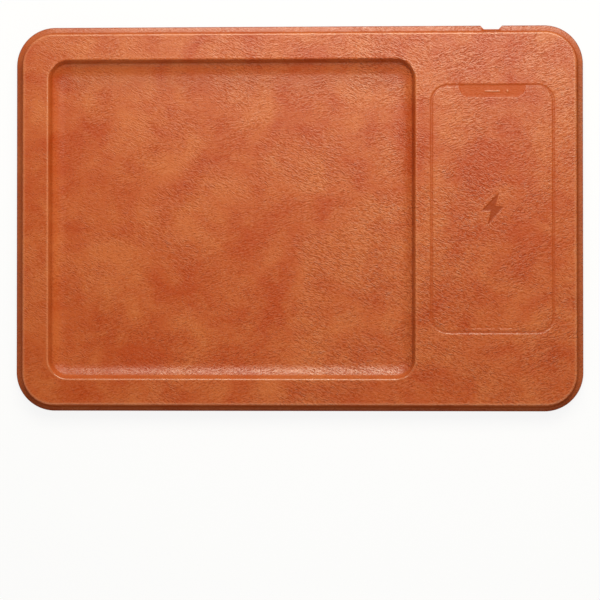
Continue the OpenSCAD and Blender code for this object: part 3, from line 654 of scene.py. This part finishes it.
def mark_forming(piece):
    """Writes where the leather takes painted shade, where it is paler from stretching and painted
    highlight, where it was pressed flat or cut, and where it is matt, for its material.
    """
    names = ("painted_shade", "stretch", "flange", "cut", "mark", "bolt", "side")
    values = {n: [] for n in names}
    top_in = outer_section()[-1][0]
    for v in piece.data.vertices:
        x, y, z = v.co / MM
        inset = out_of_raised(x, y) if z > FLANGE_TOP_Z - FLANGE_SKIN else out_of_body(x, y)
        low = z < FLANGE_TOP_Z + LOW_WALL
        on_flange = low and inset < FLANGE_W - FLANGE_MARGIN
        painted_highlight, shade, matt = recess_light_and_shade(x, y, z)
        mark, bolt, bar, line = phone_marks_and_shade(x, y, z, inset)
        if line is not None:
            shade = line
        # painted shade along the foot of the side wall, on the flange's inner edge
        foot = min(1.0, FOOT_PAINTED_SHADE * bell(inset, *FOOT_BAND)) if low else 0.0
        # the plateau's rounded edge made paler, partly stretched leather and partly painted highlight
        edge = bell(z, *EDGE_HEIGHT) * bell(inset - top_in, *EDGE_BAND)
        # painted light: the right flange made paler towards the rear
        painted_light = 0.0
        if low and inset < FLANGE_W - LIT_MARGIN:
            painted_light = near(BODY_W / 2 - x, PAINTED_LIGHT_RIGHT_FLANGE) * near(-y, PAINTED_LIGHT_TO_REAR)
        if on_flange:
            matt = near(y + BODY_D / 2, MATT_FRONT_FLANGE)
        if inset < top_in + SIDE_MARGIN:
            rises = soft_step(inset - FLANGE_W + STEEP_IN, STEEP_SOFT)
            matt = max(matt, rises * (1 - soft_step(z - BODY_H + STEEP_TOP, STEEP_TOP_SOFT)))
        cut = 0.0
        if low and z >= CUT_FROM_Z:
            cut = 1.0 - soft_step(inset - CUT_IN, CUT_SOFT)
        values["painted_shade"].append(max(foot, shade))
        # paler leather: painted highlight on the plateau edge, the recess's lip and front wall and the
        # right flange; the raised bar made paler
        values["stretch"].append(min(1.0, edge + painted_highlight + bar + painted_light))
        values["flange"].append(1.0 if on_flange else 0.0)
        values["cut"].append(cut)
        values["mark"].append(mark)
        values["bolt"].append(bolt)
        values["side"].append(matt)
    for n in names:
        layer = piece.data.attributes.new(n, "FLOAT", "POINT")
        layer.data.foreach_set("value", values[n])


# Clearances that keep the loose points and the fills of the cover off its edges
TOP_CLEAR = 3.5
LIP_CLEAR = 4
FLOOR_CLEAR = 1.5
LIP_OVER = 0.3
ROOF_CLEAR = 0.9


def formed_cover():
    """The one leather sheet: flange, side wall, top with pressed marks, recess, and its underside."""
    sheet = LeatherMesh()
    section = outer_section()
    outer = sheet.sweep(ROUND_BODY, section, notched=True)
    for ring, (inset, _) in zip(outer, section):
        sheet.shift(ring, min(1.0, max(0.0, (inset - RAISED_FROM) / RAISED_OVER)))
    recess = tray_section(0.0, True)
    tray = sheet.sweep(ROUND_TRAY, recess)
    top_in = section[-1][0]
    floor_in = recess[-1][0]
    columns = spread(-BODY_W / 2, BODY_W / 2, GRID_STEP)
    grid = [(x, y) for y in spread(-BODY_D / 2, BODY_D / 2, GRID_STEP) for x in columns]
    beside = [at_inset(p, top_in + step, False) for p in ROUND_BODY for step in TOP_EDGE_LOOPS]
    beside = [raised_place(x, y) for x, y in beside]
    beside += [at_inset(p, -step, False) for p in ROUND_TRAY for step in LIP_LOOPS]

    def outside_phone(x, y):
        return in_rounded_box(x - PHONE_X, y - PHONE_Y, *GRID_OUTSIDE_PHONE) < 0

    def inside_phone(x, y):
        half_w, half_d = GRID_BESIDE_BOLT
        at_bolt = abs(x - PHONE_X) < half_w and abs(y - PHONE_Y) < half_d
        return in_rounded_box(x - PHONE_X, y - PHONE_Y, *GRID_INSIDE_PHONE) > 0 and not at_bolt

    wide = [(x, y) for x, y in grid
            if out_of_raised(x, y) > top_in + TOP_CLEAR and out_of_tray(x, y) < -LIP_CLEAR
            and outside_phone(x, y)]
    wide += [(x, y) for x, y in grid if inside_phone(x, y)]

    def top_height(x, y):
        edge = min(out_of_raised(x, y) - top_in, -out_of_tray(x, y))
        return BODY_H - TOP_SINK - MARK_DEPTH * pressed(x, y) + slack(x, y, edge) * TOP_SLACK

    def on_top(x, y):
        return out_of_raised(x, y) > top_in - HAIR and out_of_tray(x, y) < LIP_OVER

    def floor_height(x, y):
        return TRAY_FLOOR_Z + slack(x, y, out_of_tray(x, y) - floor_in)

    def on_floor(x, y):
        return out_of_tray(x, y) > floor_in - HAIR

    sheet.fill([outer[-1], tray[0]], mark_points() + beside + wide, on_top, top_height)
    floor = [(x, y) for x, y in grid if out_of_tray(x, y) > floor_in + FLOOR_CLEAR]
    sheet.fill([tray[-1]], floor, on_floor, floor_height)

    roof_z = BODY_H - COVER_T
    roof_in = side_inset(roof_z, COVER_T)
    under = [(side_inset(FLANGE_FOOT_Z, COVER_T), FLANGE_FOOT_Z), (roof_in, roof_z)]
    inner = sheet.sweep(ROUND_BODY, under)
    for ring in inner:
        sheet.shift(ring, 1.0)
    sheet.band(outer[0], inner[0], flip=True)
    hollow = sheet.sweep(ROUND_TRAY, tray_section(COVER_T, False))

    def on_roof(x, y):
        return out_of_raised(x, y) > roof_in - HAIR and out_of_tray(x, y) < -ROOF_CLEAR

    sheet.fill([inner[-1], hollow[0]], [], on_roof, lambda x, y: roof_z, flip=True)
    sheet.faces.append(tuple(hollow[-1]))
    piece = sheet.made("formed_leather_cover")
    cut_out(piece, port_cutter())
    smooth_with_sharp(piece, SHARP_ANGLE)
    mark_forming(piece)
    return piece


LAYER_RIM = 3.0
LAYER_INSIDE = 2.9
LAYER_STEPS = 5


def edge_layer(name, low, high, radius):
    """A flat layer of the flange with eased edges and the cable notch."""
    def inside(x, y):
        return out_of_body(x, y) > LAYER_INSIDE

    layer = LeatherMesh()
    section = [(LAYER_RIM, low)] + arc(radius, low + radius, radius, 270, 180, LAYER_STEPS)
    section += arc(radius, high - radius, radius, 180, 90, LAYER_STEPS) + [(LAYER_RIM, high)]
    rings = layer.sweep(ROUND_BODY, section, notched=True)
    layer.fill([rings[0]], [], inside, lambda x, y: low, flip=True)
    layer.fill([rings[-1]], [], inside, lambda x, y: high)
    piece = layer.made(name)
    smooth_with_sharp(piece, SHARP_ANGLE)
    return piece


# Shader building
def node(tree, kind, inputs=None, **settings):
    """A shader node with its settings and inputs: a socket is joined, a number is set."""
    made = tree.nodes.new("ShaderNode" + kind)
    for name, value in settings.items():
        setattr(made, name, value)
    for key, value in (inputs or {}).items():
        if isinstance(value, bpy.types.NodeSocket):
            tree.links.new(value, made.inputs[key])
        else:
            made.inputs[key].default_value = value
    return made


def sums(tree, operation, a, b=0.0, c=0.0, clamp=False):
    """One step of arithmetic on sockets or numbers."""
    made = node(tree, "Math", {0: a, 1: b, 2: c}, operation=operation, use_clamp=clamp)
    return made.outputs[0]


def mixed(tree, factor, a, b):
    """Two colours blended by a factor."""
    made = node(tree, "Mix", {0: factor, 6: a, 7: b}, data_type="RGBA")
    return made.outputs[2]


def ranged(tree, value, low, high, to_low=0.0, to_high=1.0, smooth=False):
    """A value taken from one range to another and held inside it."""
    made = node(tree, "MapRange", {0: value, 1: low, 2: high, 3: to_low, 4: to_high})
    if smooth:
        made.interpolation_type = "SMOOTHSTEP"
    return made.outputs[0]


def new_group(name, inputs, outputs):
    """An empty node group with named sockets: inputs have a value, outputs only a name."""
    group = bpy.data.node_groups.new(name, "ShaderNodeTree")
    for label, value in inputs.items():
        made = group.interface.new_socket(label, in_out="INPUT", socket_type="NodeSocketFloat")
        made.default_value = value
    for label in outputs:
        group.interface.new_socket(label, in_out="OUTPUT", socket_type="NodeSocketFloat")
    entry = group.nodes.new("NodeGroupInput").outputs
    leave = group.nodes.new("NodeGroupOutput").inputs
    return group, entry, leave


def surface_mm(tree, stretch=(1.0, 1.0, 1.0)):
    """The surface's own place in millimetres, stretched along each axis."""
    place = node(tree, "TexCoord").outputs["Object"]
    return vector(tree, "MULTIPLY", place, tuple(v / MM for v in stretch))


def vector(tree, operation, a, b=(0.0, 0.0, 0.0), c=(0.0, 0.0, 0.0)):
    """One step of arithmetic on places; SCALE takes a number or a value socket as b."""
    inputs = {0: a, 3: b} if operation == "SCALE" else {0: a, 1: b, 2: c}
    return node(tree, "VectorMath", inputs, operation=operation).outputs[0]


def part_of(tree, place, axis):
    """One axis of a place or a direction."""
    return node(tree, "SeparateXYZ", {0: place}).outputs[axis]


def cloud(tree, place, scale, detail=2.0, rough=0.5, twist=0.0):
    """Noise at a scale per millimetre, around one half."""
    made = node(tree, "TexNoise", {"Vector": place, "Scale": scale, "Detail": detail,
                                   "Roughness": rough, "Distortion": twist})
    return made.outputs[0]


def centred(tree, value):
    """A noise value moved from around one half to around zero, in about -1 to 1."""
    return sums(tree, "MULTIPLY_ADD", value, 2.0, -1.0)


# Folds of the leather: directions, shares, length against width, and scales per millimetre
FOLD_TURNS = (0.42, -0.34, 0.04)
LEVEL_FOLD_SHARE = 0.35
FOLD_STRETCH = (0.36, 1.0, 1.0)
FOLD_SCALE = 1.7
FOLD_LIE_SCALE = 0.03
FOLD_LIE_FROM = -0.08
FOLD_LIE_TO = 0.14
SWAY_SCALE = 0.3
SWAY_MM = (2.0, 2.0, 2.0)
WRINKLE_TURN = 3.1
WRINKLE_SHARE = 0.28
WRINKLE_BEND = 8.0
WRINKLE_BEND_SCALE = 0.5
FINE_FOLD_STRETCH = (0.42, 1.0, 1.0)
FINE_FOLD_SCALE = 2.9
FINE_FOLD_SHARE = 0.45

# Where the hide is more or less folded: slope and level along x and y, and softer on steep walls
HIDE_ALONG_X = (0.0022, 0.92)
HIDE_ALONG_Y = (-0.0016, 0.98)
HIDE_MOST = 1.12
STEEP_FOLDS = (0.1, 0.75, 0.45, 1.0)
LOOSE_SCALE = 0.035
LOOSE_FOLDS = (0.36, 0.64, 0.75, 1.15)

# Pores, pebbles and slow clouds of tone
PORE_SCALE = 0.7
PORE_EDGE = (0.24, 0.1)
PORE_HEIGHT = -0.35
PEBBLE_SCALE = 1.6
PEBBLE_HEIGHT = 0.15
TONE_SCALE = 0.042
TONE_EDGE = (0.34, 0.66)
RED_SCALE = 0.07
RED_EDGE = (0.35, 0.65)
RED_APART = (31.0, 7.0, 3.0)


def leather_grain_group():
    """Skin of formed leather: wavy folds in three directions, pores, pebbles and clouds of tone."""
    group, entry, leave = new_group(
        "leather_grain", {"Fold": 1.0, "Pebble": 1.0, "Size": 1.0},
        ("Height", "Folds", "Pores", "Tone", "Redness"))
    base = surface_mm(group)
    place = vector(group, "SCALE", base, entry["Size"])
    sway = node(group, "TexNoise", {"Vector": place, "Scale": SWAY_SCALE, "Detail": 1.0}).outputs[1]
    sway = vector(group, "SUBTRACT", sway, (0.5, 0.5, 0.5))
    moved = vector(group, "MULTIPLY_ADD", sway, SWAY_MM, place)

    lie = centred(group, cloud(group, place, FOLD_LIE_SCALE, 1.0))
    shares = (ranged(group, lie, FOLD_LIE_FROM, FOLD_LIE_TO, smooth=True),
              ranged(group, lie, -FOLD_LIE_FROM, -FOLD_LIE_TO, smooth=True), LEVEL_FOLD_SHARE)
    folds = 0.0
    for turn, share in zip(FOLD_TURNS, shares):
        turned = node(group, "VectorRotate", {"Vector": moved, "Angle": turn}, rotation_type="Z_AXIS")
        turned = turned.outputs[0]
        along = vector(group, "MULTIPLY", turned, FOLD_STRETCH)
        wave = centred(group, cloud(group, along, FOLD_SCALE, 0.0))
        bend = centred(group, cloud(group, along, WRINKLE_BEND_SCALE, 1.0))
        bend = sums(group, "MULTIPLY", bend, WRINKLE_BEND)
        phase = sums(group, "MULTIPLY_ADD", part_of(group, turned, "Y"), WRINKLE_TURN, bend)
        wave = sums(group, "MULTIPLY_ADD", sums(group, "SINE", phase), WRINKLE_SHARE, wave)
        folds = sums(group, "MULTIPLY_ADD", wave, share, folds)
    across = vector(group, "MULTIPLY", moved, FINE_FOLD_STRETCH)
    fine = centred(group, cloud(group, across, FINE_FOLD_SCALE, 0.0))
    folds = sums(group, "MULTIPLY_ADD", fine, FINE_FOLD_SHARE, folds)

    hide = sums(group, "MULTIPLY_ADD", part_of(group, base, "X"), *HIDE_ALONG_X)
    hide_y = sums(group, "MULTIPLY_ADD", part_of(group, base, "Y"), *HIDE_ALONG_Y)
    hide = sums(group, "MINIMUM", sums(group, "MULTIPLY", hide, hide_y), HIDE_MOST)
    facing = part_of(group, node(group, "NewGeometry").outputs["Normal"], "Z")
    level = ranged(group, sums(group, "ABSOLUTE", facing), *STEEP_FOLDS, smooth=True)
    loose = ranged(group, cloud(group, place, LOOSE_SCALE, 2.0, 0.6), *LOOSE_FOLDS, smooth=True)
    where = sums(group, "MULTIPLY", loose, sums(group, "MULTIPLY", hide, level))
    folds = sums(group, "MULTIPLY", folds, where)
    group.links.new(folds, leave["Folds"])

    spots = node(group, "TexVoronoi", {"Vector": moved, "Scale": PORE_SCALE}).outputs["Distance"]
    pores = ranged(group, spots, *PORE_EDGE, smooth=True)
    group.links.new(pores, leave["Pores"])
    pebble = centred(group, cloud(group, place, PEBBLE_SCALE, 1.0, 0.6))
    pebble = sums(group, "MULTIPLY", pebble, entry["Pebble"])
    height = sums(group, "MULTIPLY", folds, entry["Fold"])
    height = sums(group, "MULTIPLY_ADD", pores, PORE_HEIGHT, height)
    height = sums(group, "MULTIPLY_ADD", pebble, PEBBLE_HEIGHT, height)
    group.links.new(height, leave["Height"])

    tone = cloud(group, place, TONE_SCALE, 3.0, 0.55, 0.3)
    group.links.new(ranged(group, tone, *TONE_EDGE), leave["Tone"])
    red = cloud(group, vector(group, "ADD", place, RED_APART), RED_SCALE, 4.0, 0.65)
    group.links.new(ranged(group, red, *RED_EDGE), leave["Redness"])
    return group


# Grain of moulded parts and of metal, with scales per millimetre
MOULD_SCALE = 5.0
MOULD_TONE_SCALE = 0.16
MOULD_TONE_EDGE = (0.3, 0.7)
SPECK_SCALE = 9.0
SPECK_EDGE = (0.6, 0.72)
LINE_SQUEEZE = (0.25, 6.0, 6.0)
LINE_SCALE = 2.0
TARNISH_SCALE = 0.5
TARNISH_EDGE = (0.35, 0.7)


def moulded_grain_group():
    """Fine even grain of moulded and pressed parts, with slow changes of tone."""
    group, entry, leave = new_group("moulded_grain", {"Size": 1.0}, ("Height", "Tone", "Speck"))
    place = vector(group, "SCALE", surface_mm(group), entry["Size"])
    group.links.new(cloud(group, place, MOULD_SCALE, 3.0, 0.6), leave["Height"])
    tone = cloud(group, place, MOULD_TONE_SCALE, 3.0, 0.55)
    group.links.new(ranged(group, tone, *MOULD_TONE_EDGE), leave["Tone"])
    speck = cloud(group, place, SPECK_SCALE, 1.0)
    group.links.new(ranged(group, speck, *SPECK_EDGE), leave["Speck"])
    return group


def drawn_lines_group():
    """Fine lines that rolling, drawing or plating leaves in metal."""
    group, entry, leave = new_group("drawn_lines", {"Size": 1.0}, ("Lines", "Tarnish"))
    place = vector(group, "SCALE", surface_mm(group, LINE_SQUEEZE), entry["Size"])
    group.links.new(cloud(group, place, LINE_SCALE, 3.0, 0.6), leave["Lines"])
    tarnish = cloud(group, surface_mm(group), TARNISH_SCALE, 4.0, 0.6)
    group.links.new(ranged(group, tarnish, *TARNISH_EDGE), leave["Tarnish"])
    return group


LEATHER_GRAIN = leather_grain_group()
MOULDED_GRAIN = moulded_grain_group()
DRAWN_LINES = drawn_lines_group()


def new_finish(name, roughness=0.5, metallic=0.0, **constants):
    """A material with one Principled shader, and its node tree and shader."""
    finish = bpy.data.materials.new(name)
    finish.use_nodes = True
    tree = finish.node_tree
    tree.nodes.clear()
    shader = node(tree, "BsdfPrincipled", {"Roughness": roughness, "Metallic": metallic})
    for key, value in constants.items():
        shader.inputs[key.replace("_", " ")].default_value = value
    out = node(tree, "OutputMaterial")
    tree.links.new(shader.outputs[0], out.inputs["Surface"])
    return finish, tree, shader


def use_group(tree, group, **values):
    """A group's outputs, with some of its inputs set."""
    made = node(tree, "Group", node_tree=group)
    for key, value in values.items():
        made.inputs[key].default_value = value
    return made.outputs


def bump(tree, shader, height, depth_mm, strength=1.0, layer="Normal"):
    """Joins a height to the shader's normal, or to its coat's."""
    made = node(tree, "Bump", {"Height": height, "Distance": depth_mm * MM, "Strength": strength})
    tree.links.new(made.outputs[0], shader.inputs[layer])


def attribute(tree, name):
    """One of the values that mark_forming writes."""
    return node(tree, "Attribute", attribute_name=name).outputs["Fac"]


def rgb(red, green, blue):
    """A colour written as it shows on a screen, from 0 to 255, as linear light."""
    def linear(v):
        v /= 255
        return v / 12.92 if v <= 0.04045 else ((v + 0.055) / 1.055) ** 2.4
    return (linear(red), linear(green), linear(blue), 1.0)


# Colours of the tan leather, as they show on a screen, and how far forming, painted shade and painted
# highlight change them
LEATHER_DEEP = rgb(183, 69, 3)
LEATHER_PALE = rgb(201, 103, 46)
LEATHER_RED = rgb(188, 77, 32)
LEATHER_VALLEY = rgb(140, 42, 2)
LEATHER_RIDGE = rgb(232, 156, 104)
LEATHER_PORE = rgb(126, 38, 4)
RED_SHARE = 0.1
VALLEY_SHARE = 0.37
RIDGE_SHARE = 0.1
PORE_SHARE = 0.5
FOLD_FULL = 0.6
FORMING_TINTS = (
    # stretch tint: paler leather, partly stretched and partly painted highlight on the edges, lip, front
    # wall and right flange
    ("stretch", 0.35, rgb(236, 150, 96)),
    # painted shade on the wall foot, the recess's walls and dishes and the outline's groove
    ("painted_shade", 0.55, rgb(132, 46, 14)),
    ("mark", 0.6, rgb(182, 76, 20)),
    ("bolt", 0.62, rgb(138, 50, 12)),
    ("flange", 0.35, rgb(204, 108, 58)),
    ("cut", 0.75, rgb(126, 46, 14)))

# Sheen and grain depth of the tan leather
TONE_ROUGHNESS = (0.0, 1.0, 0.48, 0.4)
SIDE_ROUGHER = 0.5
FOLD_GLOSS = (-0.45, 0.45, 0.22, 0.84)
FLANGE_GLOSS = 0.1
STRETCH_GLOSS = 0.6
SIDE_GLOSS = (0.0, 1.0, 1.0, 0.0)
MARK_GLOSS = (0.3, 1.0, 1.0, 0.3)
MARK_FLATTER = 0.7
SIDE_GRAIN = (0.0, 1.0, 1.0, 0.6)
SKIN_DEPTH = 0.2
COAT_DEPTH = 0.037


def tan_leather():
    """The formed leather with its folds, edges and lip made paler with painted highlight, painted shade
    in its recess and creases, pressed marks and thin finish coat.
    """
    finish, tree, shader = new_finish(
        "tan_leather", Specular_IOR_Level=0.13, Coat_Roughness=0.32, Coat_IOR=1.65)
    grain = use_group(tree, LEATHER_GRAIN)
    colour = mixed(tree, grain["Tone"], LEATHER_DEEP, LEATHER_PALE)
    red = sums(tree, "MULTIPLY", grain["Redness"], RED_SHARE)
    colour = mixed(tree, red, colour, LEATHER_RED)
    valley = ranged(tree, grain["Folds"], 0.0, -FOLD_FULL, 0.0, VALLEY_SHARE)
    colour = mixed(tree, valley, colour, LEATHER_VALLEY)
    ridge = ranged(tree, grain["Folds"], 0.0, FOLD_FULL, 0.0, RIDGE_SHARE)
    colour = mixed(tree, ridge, colour, LEATHER_RIDGE)
    pore = sums(tree, "MULTIPLY", grain["Pores"], PORE_SHARE)
    colour = mixed(tree, pore, colour, LEATHER_PORE)
    for name, share, tint in FORMING_TINTS:
        colour = mixed(tree, sums(tree, "MULTIPLY", attribute(tree, name), share), colour, tint)
    tree.links.new(colour, shader.inputs["Base Color"])

    side = attribute(tree, "side")
    mark = attribute(tree, "mark")
    rough = ranged(tree, grain["Tone"], *TONE_ROUGHNESS)
    rough = sums(tree, "MULTIPLY_ADD", side, SIDE_ROUGHER, rough)
    tree.links.new(rough, shader.inputs["Roughness"])
    gloss = ranged(tree, grain["Folds"], *FOLD_GLOSS)
    gloss = sums(tree, "MULTIPLY_ADD", attribute(tree, "flange"), FLANGE_GLOSS, gloss)
    gloss = sums(tree, "MULTIPLY_ADD", attribute(tree, "stretch"), STRETCH_GLOSS, gloss)
    gloss = sums(tree, "MULTIPLY", gloss, ranged(tree, side, *SIDE_GLOSS))
    gloss = sums(tree, "MULTIPLY", gloss, ranged(tree, mark, *MARK_GLOSS))
    tree.links.new(gloss, shader.inputs["Coat Weight"])

    grain_share = sums(tree, "SUBTRACT", 1.0, sums(tree, "MULTIPLY", mark, MARK_FLATTER))
    grain_share = sums(tree, "MULTIPLY", grain_share, ranged(tree, side, *SIDE_GRAIN))
    height = sums(tree, "MULTIPLY", grain["Height"], grain_share)
    bump(tree, shader, height, SKIN_DEPTH)
    bump(tree, shader, height, COAT_DEPTH, layer="Coat Normal")
    return finish


# The backing leather, then the depth of the other finishes' grain
BACKING_DARK = rgb(88, 44, 28)
BACKING_LIGHT = rgb(112, 58, 36)
BACKING_VALLEY = rgb(60, 28, 18)
BACKING_FOLDS = (0.0, -0.5, 0.0, 0.6)
BACKING_ROUGHNESS = (0, 1, 0.62, 0.5)
BACKING_DEPTH = 0.1
BACKING_STRENGTH = 0.7
MOULD_ROUGH_SPAN = 0.06
MOULD_STRENGTH = 0.6
METAL_LINES = (0.2, 0.8)
METAL_SMOOTHER = 0.08
METAL_ROUGHER = 0.1
METAL_DEPTH = 0.01
METAL_STRENGTH = 0.5


def backing_leather():
    """The thin dark leather glued under the flange."""
    finish, tree, shader = new_finish("backing_leather", Specular_IOR_Level=0.3)
    grain = use_group(tree, LEATHER_GRAIN, Size=1.4, Fold=0.5, Pebble=0.8)
    colour = mixed(tree, grain["Tone"], BACKING_DARK, BACKING_LIGHT)
    colour = mixed(tree, ranged(tree, grain["Folds"], *BACKING_FOLDS), colour, BACKING_VALLEY)
    tree.links.new(colour, shader.inputs["Base Color"])
    tree.links.new(ranged(tree, grain["Redness"], *BACKING_ROUGHNESS), shader.inputs["Roughness"])
    bump(tree, shader, grain["Height"], BACKING_DEPTH, BACKING_STRENGTH)
    return finish


def grained(name, dark, light, rough, depth, size=1.0, speck=None):
    """A moulded, cast or pressed finish in two tones with fine grain."""
    finish, tree, shader = new_finish(name)
    grain = use_group(tree, MOULDED_GRAIN, Size=size)
    colour = mixed(tree, grain["Tone"], rgb(*dark), rgb(*light))
    if speck:
        colour = mixed(tree, grain["Speck"], colour, rgb(*speck))
    tree.links.new(colour, shader.inputs["Base Color"])
    roughness = ranged(tree, grain["Tone"], 0, 1, rough + MOULD_ROUGH_SPAN, rough - MOULD_ROUGH_SPAN)
    tree.links.new(roughness, shader.inputs["Roughness"])
    bump(tree, shader, grain["Height"], depth, MOULD_STRENGTH)
    return finish


def drawn_metal(name, bright, dull, rough, size=1.0):
    """A rolled, drawn or plated metal with fine lines and patches of tarnish."""
    finish, tree, shader = new_finish(name, metallic=1.0)
    lines = use_group(tree, DRAWN_LINES, Size=size)
    colour = mixed(tree, lines["Tarnish"], rgb(*bright), rgb(*dull))
    tree.links.new(colour, shader.inputs["Base Color"])
    roughness = ranged(tree, lines["Lines"], *METAL_LINES, rough - METAL_SMOOTHER, rough + METAL_ROUGHER)
    tree.links.new(roughness, shader.inputs["Roughness"])
    bump(tree, shader, lines["Lines"], METAL_DEPTH, METAL_STRENGTH)
    return finish


FINISHES = {
    "tan_leather": tan_leather(),
    "backing": backing_leather(),
    "base_board": grained("base_board", (66, 34, 24), (84, 44, 30), 0.62, 0.06, 0.7),
    "shell_plastic": grained("shell_plastic", (38, 36, 35), (50, 47, 45), 0.5, 0.04),
    "rubber": grained("rubber", (24, 24, 24), (38, 37, 36), 0.75, 0.06, 1.0, (62, 60, 57)),
    "bezel_plastic": grained("bezel_plastic", (112, 50, 24), (134, 64, 32), 0.42, 0.02, 1.5),
    "circuit_laminate": grained(
        "circuit_laminate", (14, 62, 40), (22, 84, 52), 0.35, 0.03, 0.8, (120, 128, 80)),
    "chip_black": grained("chip_black", (22, 22, 24), (34, 34, 36), 0.55, 0.02, 2.0, (58, 58, 60)),
    "capacitor_ceramic": grained("capacitor_ceramic", (150, 120, 86), (172, 142, 106), 0.45, 0.02, 2.0),
    "amber_film": grained("amber_film", (168, 96, 22), (192, 118, 34), 0.25, 0.03, 0.5),
    "ferrite": grained("ferrite", (44, 43, 44), (60, 58, 58), 0.7, 0.05, 1.2, (92, 90, 88)),
    "foam": grained("foam", (46, 46, 48), (64, 64, 66), 0.9, 0.3, 0.5, (30, 30, 31)),
    "screw_steel": drawn_metal("screw_steel", (196, 194, 188), (150, 146, 138), 0.34, 1.5),
    "port_steel": drawn_metal("port_steel", (200, 200, 200), (158, 156, 152), 0.3),
    "contact_gold": drawn_metal("contact_gold", (232, 190, 104), (196, 150, 74), 0.28, 2.0),
    "copper_wire": drawn_metal("copper_wire", (214, 124, 74), (168, 86, 48), 0.36, 1.2),
    "solder": drawn_metal("solder", (206, 206, 204), (162, 162, 160), 0.32, 0.6),
    "shield_aluminium": drawn_metal("shield_aluminium", (214, 214, 214), (178, 178, 178), 0.38, 0.8),
}


def finish_nodes():
    """Gives every solid of the frame the finish of its material slot."""
    slot_of = {row["node"]: row["material_slot"] for row in frame["record"]["subparts"]}
    for name, solid in nodes.items():
        solid.data.materials.clear()
        solid.data.materials.append(FINISHES[slot_of[name]])


def dressed(piece, solid, slot):
    """Puts a made piece in place of a solid of the frame."""
    piece.data.materials.clear()
    piece.data.materials.append(FINISHES[slot])
    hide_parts(solid)
    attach(piece, "root")


# Lamps, each with its place, width and height in metres and its watts; the room and the floor
KEY_LAMP = ((0.06, 0.4, 0.65), 0.6, 0.34, 6.0)
FRONT_FILL = ((0.05, -0.6, 0.5), 1.0, 0.5, 1.1)
LAMP_COLOUR = (1.0, 0.965, 0.8)
ROOM_COLOUR = (1.0, 0.985, 0.97, 1)
ROOM_LEVEL = (0.15, 0.65, 0.38, 0.16)
FLOOR_HALF = 6.0
FLOOR_GREY = (0.3, 0.3, 0.3, 1)
FLOOR_WHITE = (0.95, 0.95, 0.95, 1)
FLOOR_GLOW = 0.88


def soft_box(name, place, wide, high, watts):
    """A rectangular lamp that faces the middle of the tray."""
    lamp = bpy.data.lights.new(name, "AREA")
    lamp.shape = "RECTANGLE"
    lamp.size = wide
    lamp.size_y = high
    lamp.energy = watts
    lamp.color = LAMP_COLOUR
    box = bpy.data.objects.new(name, lamp)
    box.location = place
    box.rotation_euler = (-box.location).to_track_quat("-Z", "Y").to_euler()
    bpy.context.scene.collection.objects.link(box)


def lit_room():
    """Even light all round, a little brighter near the horizon."""
    world = bpy.data.worlds.new("studio")
    bpy.context.scene.world = world
    world.use_nodes = True
    tree = world.node_tree
    tree.nodes.clear()
    up = part_of(tree, node(tree, "TexCoord").outputs["Generated"], "Z")
    level = ranged(tree, up, *ROOM_LEVEL, smooth=True)
    room = node(tree, "Background", {"Color": ROOM_COLOUR, "Strength": level})
    out = node(tree, "OutputWorld")
    tree.links.new(room.outputs[0], out.inputs["Surface"])


def white_paper():
    """Floor paper that shows almost white, but throws little light back on the tray."""
    paper = bpy.data.materials.new("white_paper")
    paper.use_nodes = True
    tree = paper.node_tree
    tree.nodes.clear()
    rays = node(tree, "LightPath").outputs
    seen = sums(tree, "ADD", rays["Is Camera Ray"], rays["Is Glossy Ray"])
    seen = sums(tree, "ADD", seen, rays["Is Transmission Ray"], clamp=True)
    tint = mixed(tree, seen, FLOOR_GREY, FLOOR_WHITE)
    matt = node(tree, "BsdfDiffuse", {"Color": tint})
    glow = node(tree, "Emission", {"Color": (1, 1, 1, 1), "Strength": 1.0})
    share = sums(tree, "MULTIPLY", seen, FLOOR_GLOW)
    both = node(tree, "MixShader", {0: share, 1: matt.outputs[0], 2: glow.outputs[0]})
    out = node(tree, "OutputMaterial")
    tree.links.new(both.outputs[0], out.inputs["Surface"])
    return paper


def studio():
    """White floor, one large soft lamp from behind, a weak one in front, and even light all round."""
    scene = bpy.context.scene
    scene.view_settings.view_transform = "Standard"
    lit_room()
    mesh = bpy.data.meshes.new("floor")
    signs = ((-1, -1), (1, -1), (1, 1), (-1, 1))
    mesh.from_pydata([(FLOOR_HALF * a, FLOOR_HALF * b, 0) for a, b in signs], [], [(0, 1, 2, 3)])
    mesh.materials.append(white_paper())
    floor = bpy.data.objects.new("floor", mesh)
    scene.collection.objects.link(floor)
    soft_box("key_lamp", *KEY_LAMP)
    soft_box("front_fill", *FRONT_FILL)


# The photograph's camera: lens and sensor in millimetres, place in metres, turn in degrees
CAMERA_LENS = 114.0
CAMERA_SENSOR = 36.0
CAMERA_PLACE = (0.0396, -0.059, 1.1099)
CAMERA_TURN = (0.6015, 2.0079, -0.0119)


def photo_camera():
    """The photograph's camera: almost straight above, far off, long lens."""
    lens = bpy.data.cameras.new("photo_camera")
    lens.lens = CAMERA_LENS
    lens.sensor_width = CAMERA_SENSOR
    camera = bpy.data.objects.new("photo_camera", lens)
    turn = Vector([math.radians(degrees) for degrees in CAMERA_TURN])
    turned = Quaternion(turn.normalized(), turn.length).to_matrix().to_4x4()
    camera.matrix_world = Matrix.Translation(CAMERA_PLACE) @ turned
    bpy.context.scene.collection.objects.link(camera)
    bpy.context.scene.camera = camera


finish_nodes()
dressed(formed_cover(), "cover_leather", "tan_leather")
backing_sheet = edge_layer("backing_sheet", SHEET_FOOT_Z, SHEET_TOP_Z, SHEET_EASE_R)
dressed(backing_sheet, "base_leather", "backing")
studio()
photo_camera()
